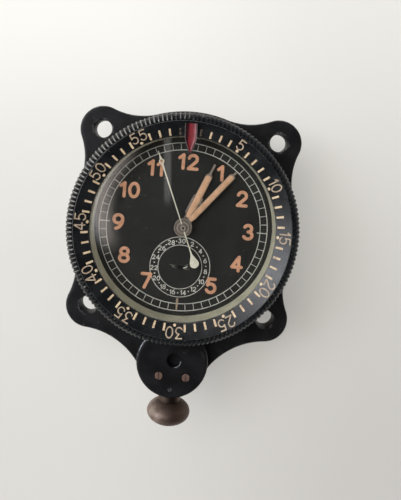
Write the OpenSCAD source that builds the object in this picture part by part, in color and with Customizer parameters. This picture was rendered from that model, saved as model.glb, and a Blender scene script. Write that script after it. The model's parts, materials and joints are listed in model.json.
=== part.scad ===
// Cockpit clock with a turning bezel, a sweep hand, a counter dial and a winding knob under its chin.
// Millimetres. The dial faces +Z, twelve o'clock is +Y, and z = 0 is the flange face on the panel.

/* [Flange] */
// Spacing of the panel screw holes, both ways
hole_pitch = 46; // [42:0.5:52]
// Radius of a panel screw hole
hole_r = 2.3; // [1.6:0.1:2.6]
// Radius of a corner lug
lug_r = 6; // [5:0.1:7]
// Thickness of the flange
flange_t = 4.4; // [3.6:0.1:5]
// How far the round part of the flange stands out past the body
flange_rim = 2.3; // [2:0.1:3]
// Radius of the hollow beside a lug
lug_hollow = 17; // [14:0.5:20]
// Distance of the chin's centre outside the body
chin_drop = 7.1; // [6.6:0.1:8]
// Radius of the chin
chin_r = 9.4; // [9.2:0.1:10]
// Radius of the hollow between the chin and a lug
chin_hollow = 19.5; // [17:0.5:22]

/* [Case] */
// How far the body reaches past the line of the panel holes
body_over = 4.1; // [3.8:0.1:4.6]
// Wall of the body
body_wall = 2.5; // [2.2:0.1:2.7]
// Room between the movement's lowest screw and the back cover
back_room = 1.2; // [0.6:0.1:5]
// Thickness of the back cover
back_t = 2; // [1.6:0.1:3]
// Thickness of the back gasket
gasket_t = 0.3; // [0.2:0.05:0.6]
// Radius of a back screw's shank
back_screw_r = 0.6; // [0.5:0.05:0.7]
// How far the bezel's seat stands out past the body
seat_rim = 0.7; // [0.4:0.1:1]
// Metal over the stem, up to the bezel's seat
seat_cover = 0.65; // [0.4:0.05:1]
// Height of the ledge that the main plate is screwed to, above the flange
ledge_h = 0.6; // [0.4:0.05:0.8]
// How far the neck that the bezel turns on stands inside the body's radius
neck_step = 2.7; // [2.6:0.05:2.9]
// Wall of the neck
neck_wall = 1.45; // [1.3:0.05:1.5]

/* [Bezel] */
// Width of the bezel, from the neck to the tips of its coin edge
bezel_w = 3.55; // [3.3:0.05:3.9]
// Width of the sloped shoulder and coin edge outside the inscribed face
edge_w = 2.05; // [1.8:0.05:2.4]
// Width of the flat rim
rim_w = 0.3; // [0.2:0.05:0.5]
// How far the lip reaches over the neck's bore
lip_cover = 0.7; // [0.5:0.05:0.8]
// Thickness of the lip at the opening
lip_t = 0.4; // [0.3:0.05:0.6]
// Depth of the inscribed face's slope
slope_depth = 1.5; // [1.2:0.1:1.8]
// Number of teeth in the coin edge
edge_teeth = 160; // [120:1:180]
// Depth of the coin edge's teeth
edge_depth = 0.45; // [0.2:0.05:0.5]
// Wire radius of the spring ring that holds the bezel
ring_wire_r = 0.4; // [0.3:0.05:0.5]
// Width of the red marker
marker_w = 2.6; // [2:0.1:3.2]
// Length of the marker
marker_len = 7; // [5:0.1:9]
// How far the marker's outer end stays inside the inscribed face's edge
marker_inset = 0.55; // [0.4:0.05:1]
// Thickness of the marker
marker_t = 0.6; // [0.4:0.05:0.8]

/* [Crystal and dial] */
// Room for the motion work between the main plate and the dial
motion_room = 2.8; // [2.75:0.05:3.2]
// Thickness of the dial
dial_t = 0.4; // [0.3:0.05:0.5]
// Height of the ring between the dial and the crystal
wall_ring_h = 4.3; // [3.8:0.05:4.8]
// Width of that ring at the dial
wall_ring_w = 0.8; // [0.7:0.05:1]
// How far that ring's inner face leans outwards on its way to the crystal
wall_lean = 0.3; // [0:0.05:0.35]
// Thickness of the crystal's seal
seal_t = 0.2; // [0.15:0.05:0.3]
// Width of the crystal's seal
seal_w = 0.4; // [0.3:0.05:0.5]
// Thickness of the crystal at its centre
crystal_t = 1; // [0.8:0.1:1.2]
// Height of the crystal's crown above its foot
crystal_h = 2.8; // [2.6:0.05:3.2]
// How far the crystal falls from its crown to its edge
dome_drop = 2.1; // [1.9:0.1:2.2]
// Distance of the counter dial's centre below the dial axis
counter_y = 10; // [9.8:0.05:10.2]

/* [Knob and stem] */
// Height of the stem's axis above the rear of the main plate
stem_up = 1.4; // [1.3:0.05:1.5]
// Radius of the stem
stem_r = 0.75; // [0.6:0.05:0.8]
// Radius of the knob
knob_r = 5.5; // [4.5:0.1:6]
// Length of the knob
knob_l = 6.1; // [5:0.1:7]
// Radius of the collar behind the knob
collar_r = 2.85; // [2.4:0.05:3]
// Radius of the sleeve that slides in the housing
sleeve_r = 2.2; // [1.9:0.05:2.3]
// Gap between the chin and the knob when it is pushed in
knob_gap = 0.4; // [0.3:0.1:1.6]
// How far the knob pushes in
push_travel = 1; // [0.6:0.1:1.1]
// How far the knob pulls out
pull_travel = 1.5; // [1:0.1:1.7]
// How far the stem housing stays inside the chin's edge
housing_inset = 0.4; // [0.2:0.1:0.8]
// Height of the stem housing above the flange
housing_h = 5.6; // [5.2:0.1:6.2]
// Half the spacing of the two housing screws
housing_screw_x = 3.4; // [3.3:0.1:4]
// Radius of the round recess in the housing's top
recess_r = 2; // [1.6:0.1:2.2]

/* [Hands] */
// Gap between the hour hand's tip and the ring round the dial
hour_gap = 4.6; // [4:0.1:7]
// Half width of the hour hand's wide part
hour_half_w = 1.3; // [1:0.05:1.6]
// Gap between the minute hand's tip and that ring
minute_gap = 3.2; // [2.8:0.1:5]
// Half width of the minute hand
minute_half_w = 0.8; // [0.6:0.05:1]
// Gap between the sweep hand's tip and that ring
sweep_gap = 2.2; // [1.8:0.1:4]
// Length of the sweep hand's tail
tail_len = 10.4; // [9:0.1:11.5]
// Radius of the round boss of the hour and minute hands
boss_r = 2.2; // [2:0.05:2.4]
// Radius of the sweep hand's round boss
sweep_boss_r = 2.2; // [1.6:0.05:2.4]
// Thickness of a hand's blade
blade_t = 0.3; // [0.2:0.05:0.35]
// Thickness of the luminous filling
lume_t = 0.22; // [0.15:0.01:0.24]
// Angle of the hour hand, clockwise from twelve
hour_angle = 22.5; // [0:0.5:359.5]
// Angle of the minute hand, clockwise from twelve
minute_angle = 39.4; // [0:0.1:359.9]
// Angle of the sweep hand, clockwise from twelve
sweep_angle = 337.6; // [0:0.1:359.9]

/* [Movement] */
// Thickness of the main plate
plate_t = 3; // [2.9:0.05:3.05]
// Thickness of the train bridge
bridge_t = 1.8; // [1.4:0.1:2]
// Clearance on each side of a running fit
running = 0.05; // [0.03:0.01:0.06]
// Radius of a wheel's pivot
pivot_r = 0.35; // [0.25:0.05:0.4]
// Radius of a wheel's arbor
arbor_r = 0.55; // [0.5:0.05:0.6]
// Share of a tooth that is left free between meshed teeth
backlash = 0.14; // [0.1:0.01:0.18]
// Radius of the balance's rim
balance_r = 6.8; // [6.4:0.1:7]
// Turns of the mainspring
mainspring_turns = 7; // [4:1:8]
// Turns of the hairspring
hairspring_turns = 6; // [4:1:7]
// Coils of the knob's spring
knob_spring_coils = 5; // [3:1:6]

/* [Hidden] */
$fn = 72;

// Paints
case_black = [0.11, 0.11, 0.12];
dial_black = [0.13, 0.13, 0.125];
brass = [0.72, 0.58, 0.32];
steel = [0.62, 0.62, 0.63];
nickel = [0.70, 0.69, 0.66];
copper_dull = [0.43, 0.33, 0.29];
lume_tan = [0.84, 0.65, 0.51];
bone = [0.88, 0.87, 0.79];

// Clearances that pieces share, and how far a cut runs past the face that it opens through
fit = 0.05;
slip = 0.02;
past = 1;
axis_o = [0, 0];

// Radii of the case
body_r = hole_pitch / 2 + body_over;
bore_r = body_r - body_wall;
flange_r = body_r + flange_rim;
seat_r = body_r + seat_rim;
neck_r = body_r - neck_step;
neck_in = neck_r - neck_wall;
screw_ring_r = body_r - body_wall / 2;
chin_y = body_r + chin_drop;
chin = [0, -chin_y];
lug = hole_pitch / 2;
housing_r = chin_r - housing_inset;

// Movement levels
rim_step = 0.8;
train_room = 7.6;
chrono_room = 6;
ledge_z = flange_t + ledge_h;
plate_z = ledge_z - rim_step;
plate_top = plate_z + plate_t;
plate_r = neck_in - 0.15;
plate_flange_r = bore_r - 0.2;
bridge_z = plate_z - train_room;
bridge_low = bridge_z - bridge_t;
chrono_z = bridge_low - chrono_room;
chrono_t = 1;
wind_z = plate_z - 1.6;
wheel_t = 0.4;
wind_t = 0.6;
barrel_top = plate_z - 2;
barrel_low = plate_z - 5.8;
pivot_in = 0.9;
screw_head_r = 1.1;
screw_head_h = 0.6;

// Case levels
stem_z = plate_z + stem_up;
seat_z = stem_z + stem_r + seat_cover;
housing_top = flange_t + housing_h;
body_depth = back_room - gasket_t - (chrono_z - chrono_t - screw_head_h);
back_z = -body_depth - gasket_t;

// Dial, crystal and bezel
dial_z = plate_top + motion_room + dial_t;
crystal_foot = dial_z + wall_ring_h + seal_t;
crown_z = crystal_foot + crystal_h;
foot_r = neck_in - fit;
ring_in = foot_r - wall_ring_w;
opening_r = neck_in - lip_cover;
glass_r = opening_r - 0.25;
glass_in = glass_r - 0.8;
neck_z = crystal_foot + 0.4;
bezel_gap = 0.3;
bezel_z = seat_z + bezel_gap;
bezel_r = neck_r + bezel_w;
slope_r = bezel_r - edge_w;
lip_z = neck_z + 0.2;
lip_top = lip_z + lip_t;
bezel_top = lip_top + slope_depth;
edge_low = bezel_z + 0.9;
edge_high = bezel_top - 2.3;
core_r = bezel_r - edge_depth - 0.15;
ring_r = neck_r + running;
ring_z = (bezel_z + lip_z) / 2;
marker_z = crown_z - 0.2;
marker_root_r = slope_r - marker_inset;
marker_tip_r = marker_root_r - marker_len;

// Stem line, measured towards the knob from the dial axis
chin_end = chin_y + chin_r;
knob_face = chin_end + push_travel + knob_gap;
collar_l = knob_face - chin_end - 0.1;
counterbore_end = chin_end - push_travel;
guided_l = 3.7;
sleeve_end = counterbore_end - pull_travel - guided_l;
guide_end = sleeve_end - push_travel - 0.4;
chamber_r = 1.9;
chamber_l = 5.2;
chamber_end = guide_end - chamber_l;
wind_pinion_n = 10;
wind_pinion_m = 0.4;
face_n = 20;
face_r = face_n * wind_pinion_m / 2;
face_w = 1.2;
crown_in = 5.6;
crown_y = bore_r - crown_in;
stem_tip = crown_y - face_r - face_w / 2 - 0.4;
square_w = 1.06;
square_end = stem_tip + 0.4 + face_w + push_travel + 0.3;

// Teeth: counts, and modules that follow the room inside the body
press_angle = 25;
room = bore_r / 24.6;
barrel_n = 60;
centre_pinion_n = 10;
barrel_m = 0.36 * room;
centre_n = 48;
third_pinion_n = 6;
centre_m = 0.33 * room;
third_n = 45;
fourth_pinion_n = 6;
third_m = 0.3 * room;
fourth_n = 60;
escape_pinion_n = 6;
fourth_m = 0.2 * room;
wind_m = 0.35 * room;
crown_n = 28;
idler_n = 20;
ratchet_n = 42;
cannon_n = 12;
minute_n = 36;
cannon_m = 0.28;
minute_pinion_n = 10;
hour_n = 40;
hour_m = cannon_m * (cannon_n + minute_n) / (minute_pinion_n + hour_n);
chrono_pinion_n = 6;
count_idler_n = 30;
chrono_m = 0.4;
count_pinion_n = 6;
counter_n = 36;
counter_m = 0.33;

// Places of the arbors, each from the one that it meshes with
barrel_dir = 202.9;
third_dir = 60;
fourth_dir = 5;
escape_dir = -75;
pallet_dir = -92;
balance_dir = -96;
minute_dir = 200;
barrel_at = polar(mesh_gap(barrel_n, centre_pinion_n, barrel_m), barrel_dir);
third_at = polar(mesh_gap(centre_n, third_pinion_n, centre_m), third_dir);
fourth_at = third_at + polar(mesh_gap(third_n, fourth_pinion_n, third_m), fourth_dir);
escape_at = fourth_at + polar(mesh_gap(fourth_n, escape_pinion_n, fourth_m), escape_dir);
escape_r = 3.2;
pallet_at = escape_at + polar(escape_r + 1.2, pallet_dir);
balance_at = pallet_at + polar(balance_r + arbor_r + 0.5, balance_dir);
minute_at = polar(mesh_gap(cannon_n, minute_n, cannon_m), minute_dir);
counter_at = [0, -counter_y];
count_idler_at = apex(axis_o, mesh_gap(chrono_pinion_n, count_idler_n, chrono_m),
    counter_at, mesh_gap(count_pinion_n, counter_n, counter_m), 1);
crown_at = [0, -crown_y];
idler_at = apex(crown_at, mesh_gap(crown_n, idler_n, wind_m),
    barrel_at, mesh_gap(idler_n, ratchet_n, wind_m), 1);
click_at = barrel_at + polar(ratchet_n * wind_m / 2 + 2.65, 110);
cock_foot = polar(bore_r - 3.6, -68);
pillar_ring = bore_r - 2.6;
pillar_dirs = [120, 60, 0, -122];
pillars = [for (a = pillar_dirs) polar(pillar_ring, a)];
chrono_posts = room * [[-8.5, 3.5], [12.5, 0], [-3, -17.5]];
hammer_at = room * [-6.5, -6];
plate_screw_dirs = [40, 160, 310];
dial_feet = [for (a = [135, 45]) polar(plate_r - 3, a)];

// Centre stack, from the inside out
sweep_arbor_r = 0.35;
centre_tube_in = sweep_arbor_r + 0.07;
centre_tube_r = 0.75;
cannon_in = centre_tube_r + running;
cannon_tube_r = 1.1;
hour_tube_in = cannon_tube_r + running;
hour_tube_r = 1.55;

// Levels of the hands above the dial
hour_z = dial_z + 0.5;
minute_z = hour_z + 0.8;
sweep_z = minute_z + 0.9;
boss_h = 0.7;

// Point at radius r and angle a
function polar(r, a) = r * [cos(a), sin(a)];
// Angle of the line from p to q
function heading(p, q) = atan2(q.y - p.y, q.x - p.x);
// Distance between the axes of two meshed wheels
function mesh_gap(na, nb, m) = (na + nb) * m / 2;
// Point at distance ra from a and rb from b, left of the line from a to b if side is 1
function apex(a, ra, b, rb, side) =
    let (
        d = norm(b - a),
        u = (b - a) / d,
        along = (ra * ra - rb * rb + d * d) / (2 * d),
        across = sqrt(max(0, ra * ra - along * along))
    )
    a + along * u + side * across * [-u.y, u.x];
// Angle of a tooth on wheel b that meshes with wheel a, which has a tooth at angle a0
function mesh_phase(theta, a0, na, nb) = theta + 180 + (theta - a0) * na / nb - 180 / nb;
// Angle that an involute has turned through at pressure angle a
function involute(a) = tan(a) * 180 / PI - a;
// Half the angle that a tooth fills at radius q
function tooth_half(n, m, q) =
    90 / n * (1 - backlash) + involute(press_angle)
    - involute(acos(min(1, n * m / 2 * cos(press_angle) / q)));
// Outline of a wheel with n teeth of module m and a tooth at angle a0
function tooth_points(n, m, a0, add, ded) = [
    for (i = [0:n - 1], s = [-1, 1], k = s < 0 ? [0, 1, 2] : [2, 1, 0])
        let (q = n * m / 2 + [-ded, 0, add][k] * m)
        polar(q, a0 + i * 360 / n + s * tooth_half(n, m, q))
];
// Points along an arc of radius r about c from angle a to angle b
arc_step = 3;
function arc(c, r, a, b) =
    let (n = max(1, ceil(abs(b - a) / arc_step)))
    [for (i = [0:n]) c + polar(r, a + (b - a) * i / n)];
// Arc that bulges outwards, run anticlockwise, and one that hollows inwards, run clockwise
function bulge(c, r, a, b) = arc(c, r, a, b < a ? b + 360 : b);
function hollow(c, r, a, b) = arc(c, r, a, b > a ? b - 360 : b);
// Points of a spiral strip of thickness t from radius ra to rb in the given turns
spiral_steps = 20;
function spiral_edge(ra, rb, turns, off) = [
    for (i = [0:turns * spiral_steps])
        polar(ra + (rb - ra) * i / (turns * spiral_steps) + off, i * 360 / spiral_steps)
];
function reversed(list) = [for (i = [len(list) - 1:-1:0]) list[i]];
function spiral_strip(ra, rb, turns, t) = concat(
    spiral_edge(ra, rb, turns, t / 2), reversed(spiral_edge(ra, rb, turns, -t / 2))
);
// Right half of the flange's outline, from the chin up to twelve o'clock
lug_low = [lug, -lug];
lug_high = [lug, lug];
dip_chin = apex(chin, chin_r + chin_hollow, lug_low, lug_r + chin_hollow, -1);
dip_low = apex(axis_o, flange_r + lug_hollow, lug_low, lug_r + lug_hollow, 1);
dip_side = apex(axis_o, flange_r + lug_hollow, lug_high, lug_r + lug_hollow, -1);
dip_top = apex(axis_o, flange_r + lug_hollow, lug_high, lug_r + lug_hollow, 1);
flange_half = concat(
    bulge(chin, chin_r, -90, heading(chin, dip_chin)),
    hollow(dip_chin, chin_hollow, heading(dip_chin, chin), heading(dip_chin, lug_low)),
    bulge(lug_low, lug_r, heading(lug_low, dip_chin), heading(lug_low, dip_low)),
    hollow(dip_low, lug_hollow, heading(dip_low, lug_low), heading(dip_low, axis_o)),
    bulge(axis_o, flange_r, heading(axis_o, dip_low), heading(axis_o, dip_side)),
    hollow(dip_side, lug_hollow, heading(dip_side, axis_o), heading(dip_side, lug_high)),
    bulge(lug_high, lug_r, heading(lug_high, dip_side), heading(lug_high, dip_top)),
    hollow(dip_top, lug_hollow, heading(dip_top, lug_high), heading(dip_top, axis_o)),
    bulge(axis_o, flange_r, heading(axis_o, dip_top), 90)
);

// A round rod or hole on an axis along Z
module rod(at, r, low, high) {
    translate([at.x, at.y, low]) cylinder(r = r, h = high - low);
}
// A round rod or hole along Y, at height z, from y = -far to y = -near
module stem_rod(r, near, far) {
    translate([0, -near, stem_z]) rotate([90, 0, 0]) cylinder(r = r, h = far - near);
}
// A flat plate with the given outline between two levels
module plate(points, low, high) {
    translate([0, 0, low]) linear_extrude(high - low) polygon(points);
}
// A turned piece from its half section
module turned(points) {
    rotate_extrude() polygon(points);
}
// A ring between two radii and two levels
module ring(inner, outer, low, high) {
    turned([[inner, low], [outer, low], [outer, high], [inner, high]]);
}
// A toothed wheel: wheels have short tips, pinions long ones
wheel_add = 0.35;
wheel_ded = 0.75;
pinion_add = 0.55;
pinion_ded = 0.6;
module toothed(n, m, a0, low, high) {
    plate(tooth_points(n, m, a0, wheel_add, wheel_ded), low, high);
}
module pinion(n, m, a0, low, high) {
    plate(tooth_points(n, m, a0, pinion_add, pinion_ded), low, high);
}
module spur(n, m, a0, low, high) {
    plate(tooth_points(n, m, a0, (wheel_add + pinion_add) / 2, wheel_ded), low, high);
}
// Round windows that lighten a wheel
module windows(count, at_r, r, low, high) {
    for (i = [0:count - 1]) rod(polar(at_r, (i + 0.5) * 360 / count), r, low - past, high + past);
}
// An arbor with a pivot at each end, from the bridge to the main plate
module arbor() {
    rod(axis_o, arbor_r, bridge_z + running, plate_z - running);
    rod(axis_o, pivot_r, bridge_z - pivot_in, plate_z + pivot_in);
}
// A slotted screw: head from the head's face inwards, then the shank, both along +Z
slot_half = 0.14;
module slotted_screw(head_r, head_h, shank_r, shank_l) {
    difference() {
        union() {
            cylinder(r = head_r, h = head_h);
            cylinder(r = shank_r, h = head_h + shank_l);
        }
        translate([-head_r - past, -slot_half * head_r, -past])
            cube([2 * (head_r + past), 2 * slot_half * head_r, past + head_h / 2]);
    }
}
// Holes through both the housing and the chin for the stem, its sleeve and its spring
module stem_cuts() {
    stem_rod(stem_r + 2 * running, neck_in - past, chin_end + past);
    stem_rod(chamber_r, chamber_end, guide_end + 0.1);
    stem_rod(sleeve_r + running, guide_end, chin_end + past);
    stem_rod(collar_r + 2 * running, counterbore_end - 0.2, chin_end + past);
}

// Case: flange, body, bezel seat and neck in one casting
module case_body() {
    color(case_black) difference() {
        union() {
            plate(concat(flange_half, [for (p = reversed(flange_half)) mirror_x(p)]), 0, flange_t);
            rod(axis_o, body_r, -body_depth, flange_t / 2);
            rod(axis_o, seat_r, flange_t / 2, seat_z);
            rod(axis_o, neck_r, flange_t, neck_z);
        }
        rod(axis_o, bore_r, -body_depth - past, ledge_z);
        rod(axis_o, neck_in, 0, neck_z + past);
        for (x = [-lug, lug], y = [-lug, lug]) rod([x, y], hole_r, -past, flange_t + past);
        for (p = back_screws_at) rod(p, back_screw_r + slip, -body_depth - past, -body_depth + back_hole_l);
        for (p = plate_screws_at) rod(p, plate_screw_r + slip, 0, ledge_z + plate_thread_l + 0.2);
        for (p = housing_screws_at)
            rod(p, housing_shank_r + slip, flange_t - housing_hole_l, flange_t + past);
        rotate_extrude() translate([ring_r, ring_z]) circle(r = ring_wire_r + running);
        stem_cuts();
    }
}
function mirror_x(p) = [-p.x, p.y];
plate_screw_ring = (neck_in + bore_r) / 2 - 0.2;
plate_screws_at = [for (a = plate_screw_dirs) polar(plate_screw_ring, a)];
plate_screw_r = 0.4;
plate_screw_head_r = 0.7;
plate_screw_head_h = 0.5;
plate_thread_l = 1.2;
back_screws_at = [for (i = [0:3]) polar(screw_ring_r, 45 + 90 * i)];
back_thread_l = 4;
back_hole_l = back_thread_l + 2;

// Back cover with its four countersunk places
back_head_r = 1.15;
back_head_h = 0.8;
module case_back() {
    color(case_black) difference() {
        rod(axis_o, body_r, back_z - back_t, back_z);
        for (p = back_screws_at) {
            rod(p, back_screw_r + fit, back_z - back_t - past, back_z + past);
            rod(p, back_head_r + fit, back_z - back_t - past, back_z - back_t + back_head_h + fit);
        }
    }
}
gasket_inset = 0.1;
module back_gasket() {
    color([0.15, 0.15, 0.14]) difference() {
        ring(bore_r + gasket_inset, body_r - gasket_inset, back_z, -body_depth);
        for (p = back_screws_at) rod(p, back_screw_r + fit, back_z - past, -body_depth + past);
    }
}
module back_screws() {
    color(steel) for (p = back_screws_at) translate(concat(p, back_z - back_t + fit))
        slotted_screw(back_head_r, back_head_h, back_screw_r, back_t + gasket_t + back_thread_l);
}

// Stem housing: the round boss on the chin, with a rounded shoulder
housing_shank_r = 0.55;
housing_head_r = 1;
housing_head_h = 0.5;
head_sink = 0.1;
shoulder_r = 0.8;
recess_floor = 0.5;
housing_screw_drop = 4.1;
housing_screws_at = [for (s = [-1, 1]) [s * housing_screw_x, -chin_y - housing_screw_drop]];
housing_thread_l = 2.4;
housing_hole_l = housing_thread_l + 0.8;
module stem_housing() {
    recess_low = stem_z + chamber_r + recess_floor;
    color(case_black) difference() {
        translate([0, -chin_y, 0]) turned(concat(
            [[0, flange_t], [housing_r, flange_t]],
            arc([housing_r - shoulder_r, housing_top - shoulder_r], shoulder_r, 0, 90),
            [[0, housing_top]]
        ));
        rod(axis_o, seat_r + fit, flange_t - past, seat_z);
        rod(axis_o, bezel_r + bezel_gap, seat_z, housing_top + past);
        rod(chin, recess_r, recess_low, housing_top + past);
        for (p = housing_screws_at) {
            rod(p, housing_shank_r + fit, flange_t - past, housing_top + past);
            rod(p, housing_head_r + fit, housing_top - housing_head_h - head_sink, housing_top + past);
        }
        rod(set_screw_at, set_screw_r + slip, stem_z, housing_top + past);
        stem_cuts();
    }
}
module housing_screws() {
    length = housing_top - flange_t + housing_thread_l;
    color(copper_dull) for (p = housing_screws_at)
        translate(concat(p, housing_top - head_sink)) rotate([180, 0, 90])
            slotted_screw(housing_head_r, housing_head_h, housing_shank_r, length);
}
set_screw_r = 0.6;
set_screw_drop = 6.9;
set_screw_sink = 0.3;
set_screw_slot_h = 0.6;
set_screw_at = [0, -chin_y - set_screw_drop];
module sleeve_set_screw() {
    tip = stem_z + sleeve_r + 2 * running;
    shank_l = housing_top - set_screw_sink - set_screw_slot_h - tip;
    color(steel) translate(concat(set_screw_at, housing_top - set_screw_sink)) rotate([180, 0, 0])
        slotted_screw(set_screw_r, set_screw_slot_h, set_screw_r * 0.8, shank_l);
}

// Crystal: a domed disc with a foot that stands on the seal inside the neck
function dome_radius(r, drop) = (r * r + drop * drop) / (2 * drop);
function dome_z(r, crown, radius) = crown - radius + sqrt(radius * radius - r * r);
module crystal() {
    outer_r = dome_radius(glass_r, dome_drop);
    inner_r = dome_radius(glass_in, crystal_h - crystal_t);
    inner_crown = crown_z - crystal_t;
    color([0.85, 0.88, 0.88, 0.3]) turned(concat(
        [[0, inner_crown]],
        [for (i = [1:5]) let (r = glass_in * i / 6) [r, dome_z(r, inner_crown, inner_r)]],
        [[glass_in, crystal_foot], [foot_r, crystal_foot], [foot_r, neck_z], [glass_r, neck_z]],
        [for (i = [6:-1:0]) let (r = glass_r * i / 6) [r, dome_z(r, crown_z, outer_r)]]
    ));
}
module crystal_seal() {
    color([0.2, 0.2, 0.18]) ring(foot_r - seal_w, foot_r, crystal_foot - seal_t, crystal_foot);
}
module wall_ring() {
    top = dial_z + wall_ring_h;
    color([0.55, 0.54, 0.46]) turned([[ring_in, dial_z], [foot_r, dial_z], [foot_r, top],
        [ring_in + wall_lean, top]]);
}

// Dial with its two feet, and the ring that holds it off the main plate
dial_foot_r = 0.5;
dial_foot_l = 1.2;
module dial() {
    color(dial_black) difference() {
        union() {
            rod(axis_o, plate_r, dial_z - dial_t, dial_z);
            for (p = dial_feet) rod(p, dial_foot_r, plate_top - dial_foot_l, dial_z - dial_t / 2);
        }
        rod(axis_o, hour_tube_r + 0.2, 0, dial_z + past);
        rod(counter_at, counter_post_r + 0.15, 0, dial_z + past);
    }
}
module dial_spacer() {
    color(brass) ring(plate_r - 2.3, plate_r, plate_top, dial_z - dial_t);
}

// Main plate: stepped rim on the case ledge, with the pivots' holes and the stem's channel
module mainplate() {
    window_half = wind_pinion_n * wind_pinion_m / 2 + 0.6;
    color(brass) difference() {
        union() {
            rod(axis_o, plate_r, plate_z, plate_top);
            rod(axis_o, plate_flange_r, plate_z, ledge_z);
        }
        rod(axis_o, centre_tube_r + running, plate_z - past, plate_top + past);
        rod(counter_at, counter_arbor_r + running, plate_z - past, plate_top + past);
        for (p = [third_at, fourth_at, escape_at, pallet_at, balance_at])
            rod(p, pivot_r + running, plate_z - past, plate_z + pivot_in + 0.3);
        rod(barrel_at, barrel_pivot_r + running, plate_z - past, plate_z + barrel_pivot_l + 0.2);
        for (p = [crown_at, idler_at]) rod(p, wind_thread_r + slip, plate_z - past, plate_z + wind_thread_l);
        rod(click_at, click_pin_r, plate_z - past, plate_z + click_pin_l + 0.2);
        rod(minute_at, stud_r, plate_top - stud_l - 0.1, plate_top + past);
        for (p = concat(pillars, [cock_foot]))
            rod(p, thread_r + slip, plate_z - past, plate_z + frame_thread_l + 0.3);
        for (p = plate_screws_at) rod(p, plate_screw_r + fit, plate_z - past, ledge_z + past);
        for (p = dial_feet) rod(p, dial_foot_r + slip, plate_top - dial_foot_l - 0.3, plate_top + past);
        stem_rod(stem_r + 2 * running, stem_tip - push_travel - 0.3, plate_flange_r + past);
        translate([-window_half, -crown_y + face_r - face_w / 2 - 0.5, plate_z - past])
            cube([2 * window_half, face_w + past, plate_t + 2]);
    }
}
module plate_screws() {
    color(steel) for (p = plate_screws_at) translate(concat(p, plate_z - plate_screw_head_h))
        slotted_screw(plate_screw_head_r, plate_screw_head_h, plate_screw_r,
            ledge_z - plate_z + plate_thread_l);
}

// Train bridge on four pillars, cut away for the balance cock
thread_r = 0.5;
frame_thread_l = 1.2;
pillar_hole_l = 3;
pillar_r = 1.4;
cock_half_w = 2;
cock_boss_r = 3.2;
cock_len = norm(balance_at - cock_foot);
cock_dir = heading(balance_at, cock_foot);
module train_bridge() {
    color(brass) difference() {
        rod(axis_o, bore_r - past, bridge_low, bridge_z);
        rod(axis_o, centre_tube_r + running, bridge_low - past, bridge_z + past);
        rod(counter_at, counter_arbor_r + running, bridge_low - past, bridge_z + past);
        for (p = [third_at, fourth_at, escape_at, pallet_at])
            rod(p, pivot_r + running, bridge_z - pivot_in - 0.3, bridge_z + past);
        rod(barrel_at, barrel_pivot_r + running, bridge_z - barrel_pivot_l - 0.2, bridge_z + past);
        for (p = pillars) rod(p, thread_r + slip, bridge_low - past, bridge_z + past);
        for (p = chrono_posts) rod(p, thread_r + slip, bridge_low - past, bridge_low + post_thread_l + 0.2);
        rod(count_idler_at, pivot_r + running, bridge_low - past, bridge_low + pivot_in);
        rod(balance_at, cock_boss_r + 1.2, bridge_low - past, bridge_z + past);
        translate([balance_at.x, balance_at.y, bridge_low - past]) rotate([0, 0, cock_dir])
            translate([0, -cock_half_w - past, 0]) cube([cock_len + 8, 2 * cock_half_w + 2, bridge_t + 2]);
    }
}
module bridge_pillars() {
    color(brass) for (p = pillars) difference() {
        rod(p, pillar_r, bridge_z, plate_z);
        rod(p, thread_r + slip, bridge_z - past, bridge_z + pillar_hole_l);
    }
}

// Balance cock: a foot on the main plate and an arm over the balance
cock_top = bridge_z + 0.2;
cock_t = 1.4;
module balance_cock() {
    color(brass) difference() {
        union() {
            rod(cock_foot, cock_half_w, cock_top - cock_t, plate_z);
            rod(balance_at, cock_boss_r, cock_top - cock_t, cock_top);
            translate([balance_at.x, balance_at.y, cock_top - cock_t]) rotate([0, 0, cock_dir])
                translate([0, -cock_half_w, 0]) cube([cock_len, 2 * cock_half_w, cock_t]);
        }
        rod(balance_at, pivot_r + running, cock_top - pivot_in - 0.2, cock_top + past);
        rod(cock_foot, thread_r + fit, cock_top - cock_t - past, plate_z + past);
    }
}

// Screws of the movement, all alike: bridge, cock and chronograph bridge
module movement_screw(at, face, length) {
    translate([at.x, at.y, face - screw_head_h])
        slotted_screw(screw_head_r, screw_head_h, thread_r, length);
}
module movement_screws() {
    color(steel) {
        for (p = pillars) movement_screw(p, bridge_low, bridge_t + pillar_hole_l - 0.4);
        for (p = chrono_posts) movement_screw(p, chrono_z - chrono_t, chrono_t + post_hole_l - 0.2);
        movement_screw(cock_foot, cock_top - cock_t, plate_z - cock_top + cock_t + frame_thread_l);
    }
}

// Chronograph bridge: a three-armed plate on three posts
foot_pad_r = 2;
module chrono_bridge() {
    low = chrono_z - chrono_t;
    color(brass) difference() {
        union() {
            for (p = chrono_posts) rod(p, foot_pad_r, low, chrono_z);
            plate(chrono_posts, low, chrono_z);
            rod(hammer_at, 1.5, low, chrono_z);
            rod(axis_o, foot_pad_r, low, chrono_z);
            rod(counter_at, foot_pad_r, low, chrono_z);
        }
        for (p = chrono_posts) rod(p, thread_r + fit, low - past, chrono_z + past);
        for (p = [axis_o, counter_at, count_idler_at])
            rod(p, chrono_pivot_r + running, chrono_z - 0.8, chrono_z + past);
        rod(hammer_at, hammer_pin_r, chrono_z - 0.8, chrono_z + past);
    }
}
post_r = 1.2;
post_thread_l = 1;
post_hole_l = 2.6;
module chrono_pillars() {
    color(brass) for (p = chrono_posts) difference() {
        union() {
            rod(p, post_r, chrono_z, bridge_low);
            rod(p, thread_r, bridge_low - past, bridge_low + post_thread_l);
        }
        rod(p, thread_r + slip, chrono_z - past, chrono_z + post_hole_l);
    }
}

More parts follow.
